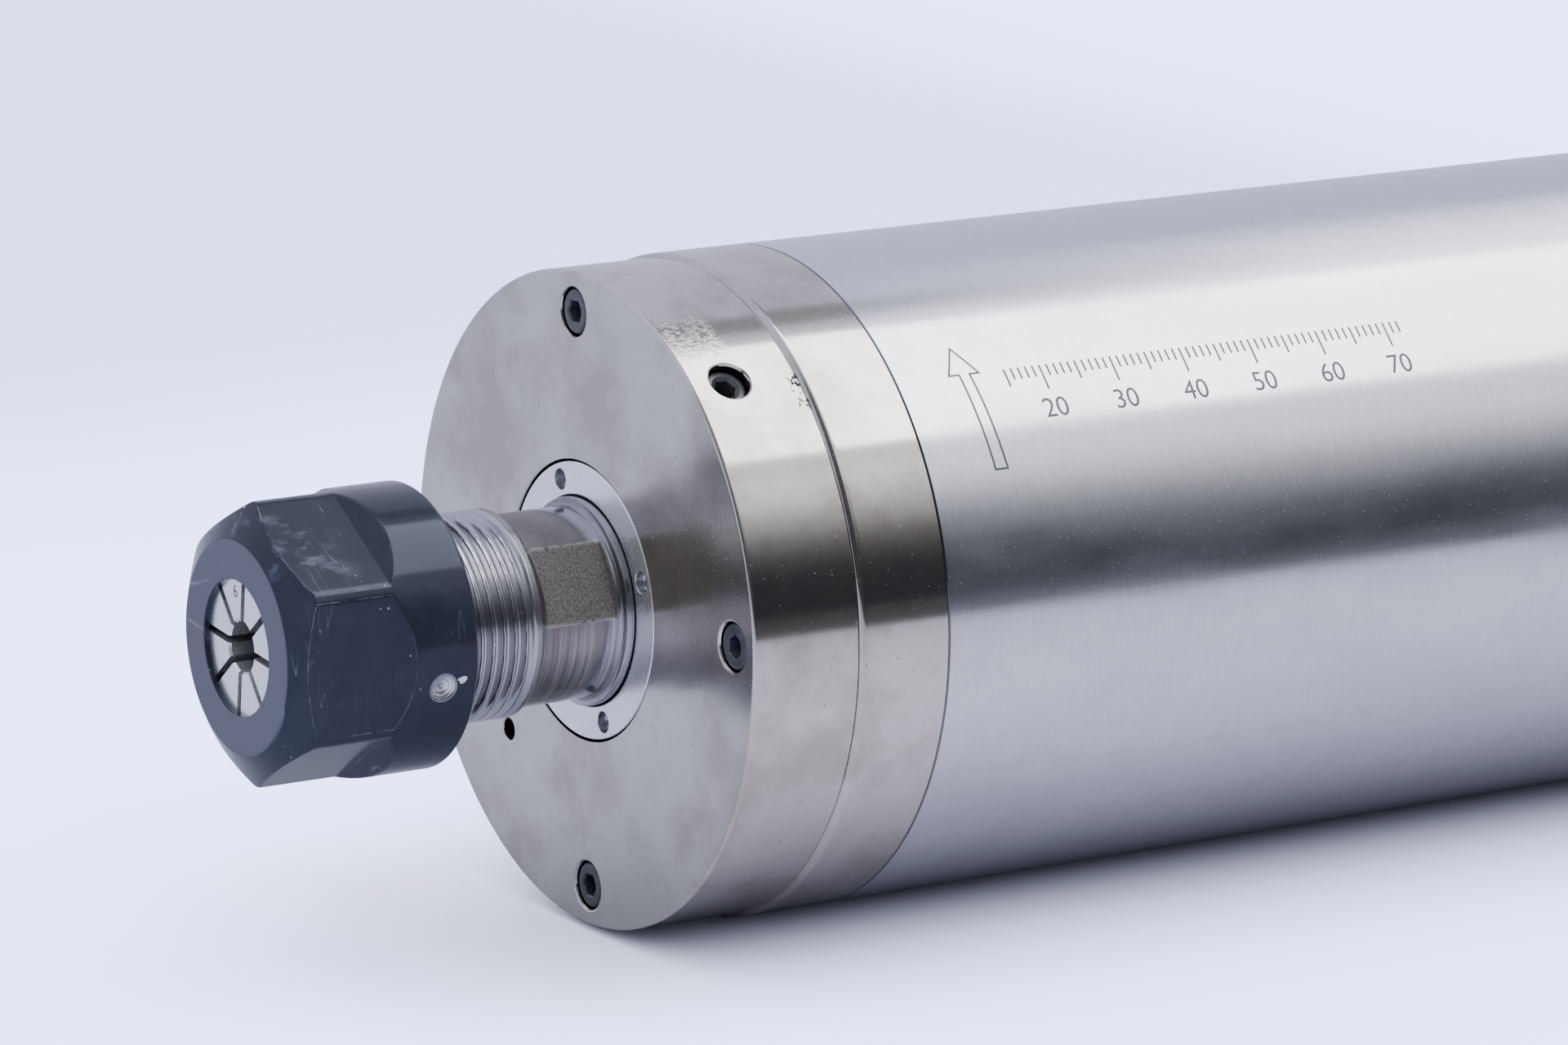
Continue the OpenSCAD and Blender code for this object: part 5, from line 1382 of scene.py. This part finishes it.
# %% Soft box
BOX_X, BOX_Y, BOX_HEIGHT = 0.311, 0.90, 1.2
box_light = bpy.data.lights.new("overhead_box", "AREA")
box_light.shape, box_light.size, box_light.size_y = "RECTANGLE", 1.078, 1.40
box_light.energy, box_light.color = 20.5, (0.98, 0.97, 1.0)
box = into_scene("overhead_box", box_light)
box.location = (BOX_X, BOX_Y, BOX_HEIGHT)
box.rotation_euler = Vector((0.0, 0.0, -BOX_HEIGHT)).to_track_quat("-Z", "Y").to_euler()
print("one soft box,", box_light.size, "by", box_light.size_y, "m")

# %% [markdown]
# ## The room around it
# Polished cylinders show whatever is around them as long bands: paper below, a dark belt where the
# table ends and the room begins, a slow rise to pale wall above, then the box and the pale wall on the
# left. An image of a real studio would need a file, so the room is worked out from the direction
# looked in, for mirror-like rays only; for everything else it is an even pale glow.

# %% Surroundings
TOP_DEGREES = 50.0
WALL_TONES = ((0.0, 0.034), (8.0, 0.036), (13.5, 0.09), (19.5, 0.22), (27.0, 0.58), (35.0, 1.17),
              (42.0, 1.5), (50.0, 1.3))


def wall_tones(tree, degrees_up):
    """The right-hand wall's colour by height: dark and bluish low down, pale from 35 degrees up."""
    shades = tree.nodes.new("ShaderNodeValToRGB")
    while len(shades.color_ramp.elements) < len(WALL_TONES):
        shades.color_ramp.elements.new(0.5)
    for element, (degrees, level) in zip(shades.color_ramp.elements, WALL_TONES):
        tint = (0.9, 0.95, 1.35) if degrees < 10 else (1.0, 1.0, 1.08)
        element.position, element.color = degrees / TOP_DEGREES, (*(level * part for part in tint), 1.0)
    feed(shades, {0: degrees_up / TOP_DEGREES})
    return Wire(tree, shades.outputs[0])


def surroundings():
    """A room as a mirror sees it: on the right a dark belt rising to pale, on the left an even pale wall
    with one dim streak and one soft glow beside the box, and darkness on the camera's side. The light
    that falls on dull things comes from above and fades towards the horizon, most of all on the right;
    the far paper's colour lies behind."""
    world = bpy.data.worlds.new("studio_room")
    world.use_nodes = True
    tree = world.node_tree
    x, y, z, _ = put(tree, "TexCoord", {}, "Generated").parts()
    shift = y.maths("ARCTAN2", x).ramp(math.radians(29.2), math.radians(49.2), -6.5, 13.5)
    wall = wall_tones(tree, z.maths("ARCSINE") * (180 / math.pi) + shift)
    mirrored = (x * 0.82 + y * 0.57).ramp(0.05, 0.4).colours((0.80, 0.82, 1.13), wall)
    mirrored = mirrored.painted(y.ramp(-0.1, -0.3) * x.ramp(0.0, 0.2), (0.05, 0.05, 0.06))
    above = z.most(0.05)
    lean, away = x / above, y / above
    streak = lean.within(-0.48, -0.36, 0.06) * away.within(0.3, 0.7, 0.06)
    glow = (lean * 0.28 + away).ramp(0.586, 0.646) * lean.ramp(-1.0, -0.3) * lean.ramp(0.0, -0.2)
    mirrored = mirrored.painted(streak, (0.30, 0.31, 0.36)).painted(glow * y.ramp(0.2, 0.4), (3.3, 3.2, 3.5))
    low = x.ramp(-0.3, 0.3).colours((2.2, 2.25, 2.4), (0.9, 0.92, 1.0))
    dull = z.ramp(0.1, 0.7).colours(low, (8.4, 8.7, 9.3))
    dull = dull.painted(light_path(tree, "Is Camera Ray"), (2.7, 3.0, 5.6))
    feed(tree.nodes["Background"], {"Color": dull.painted(light_path(tree, "Is Glossy Ray"), mirrored)})
    return world


bpy.context.scene.world = surroundings()
print("surroundings with", len(bpy.context.scene.world.node_tree.nodes), "nodes")

# %% [markdown]
# ## Sizes
# The construction model's box is measured and printed near the top. The finished model may not be
# bigger than the construction model.
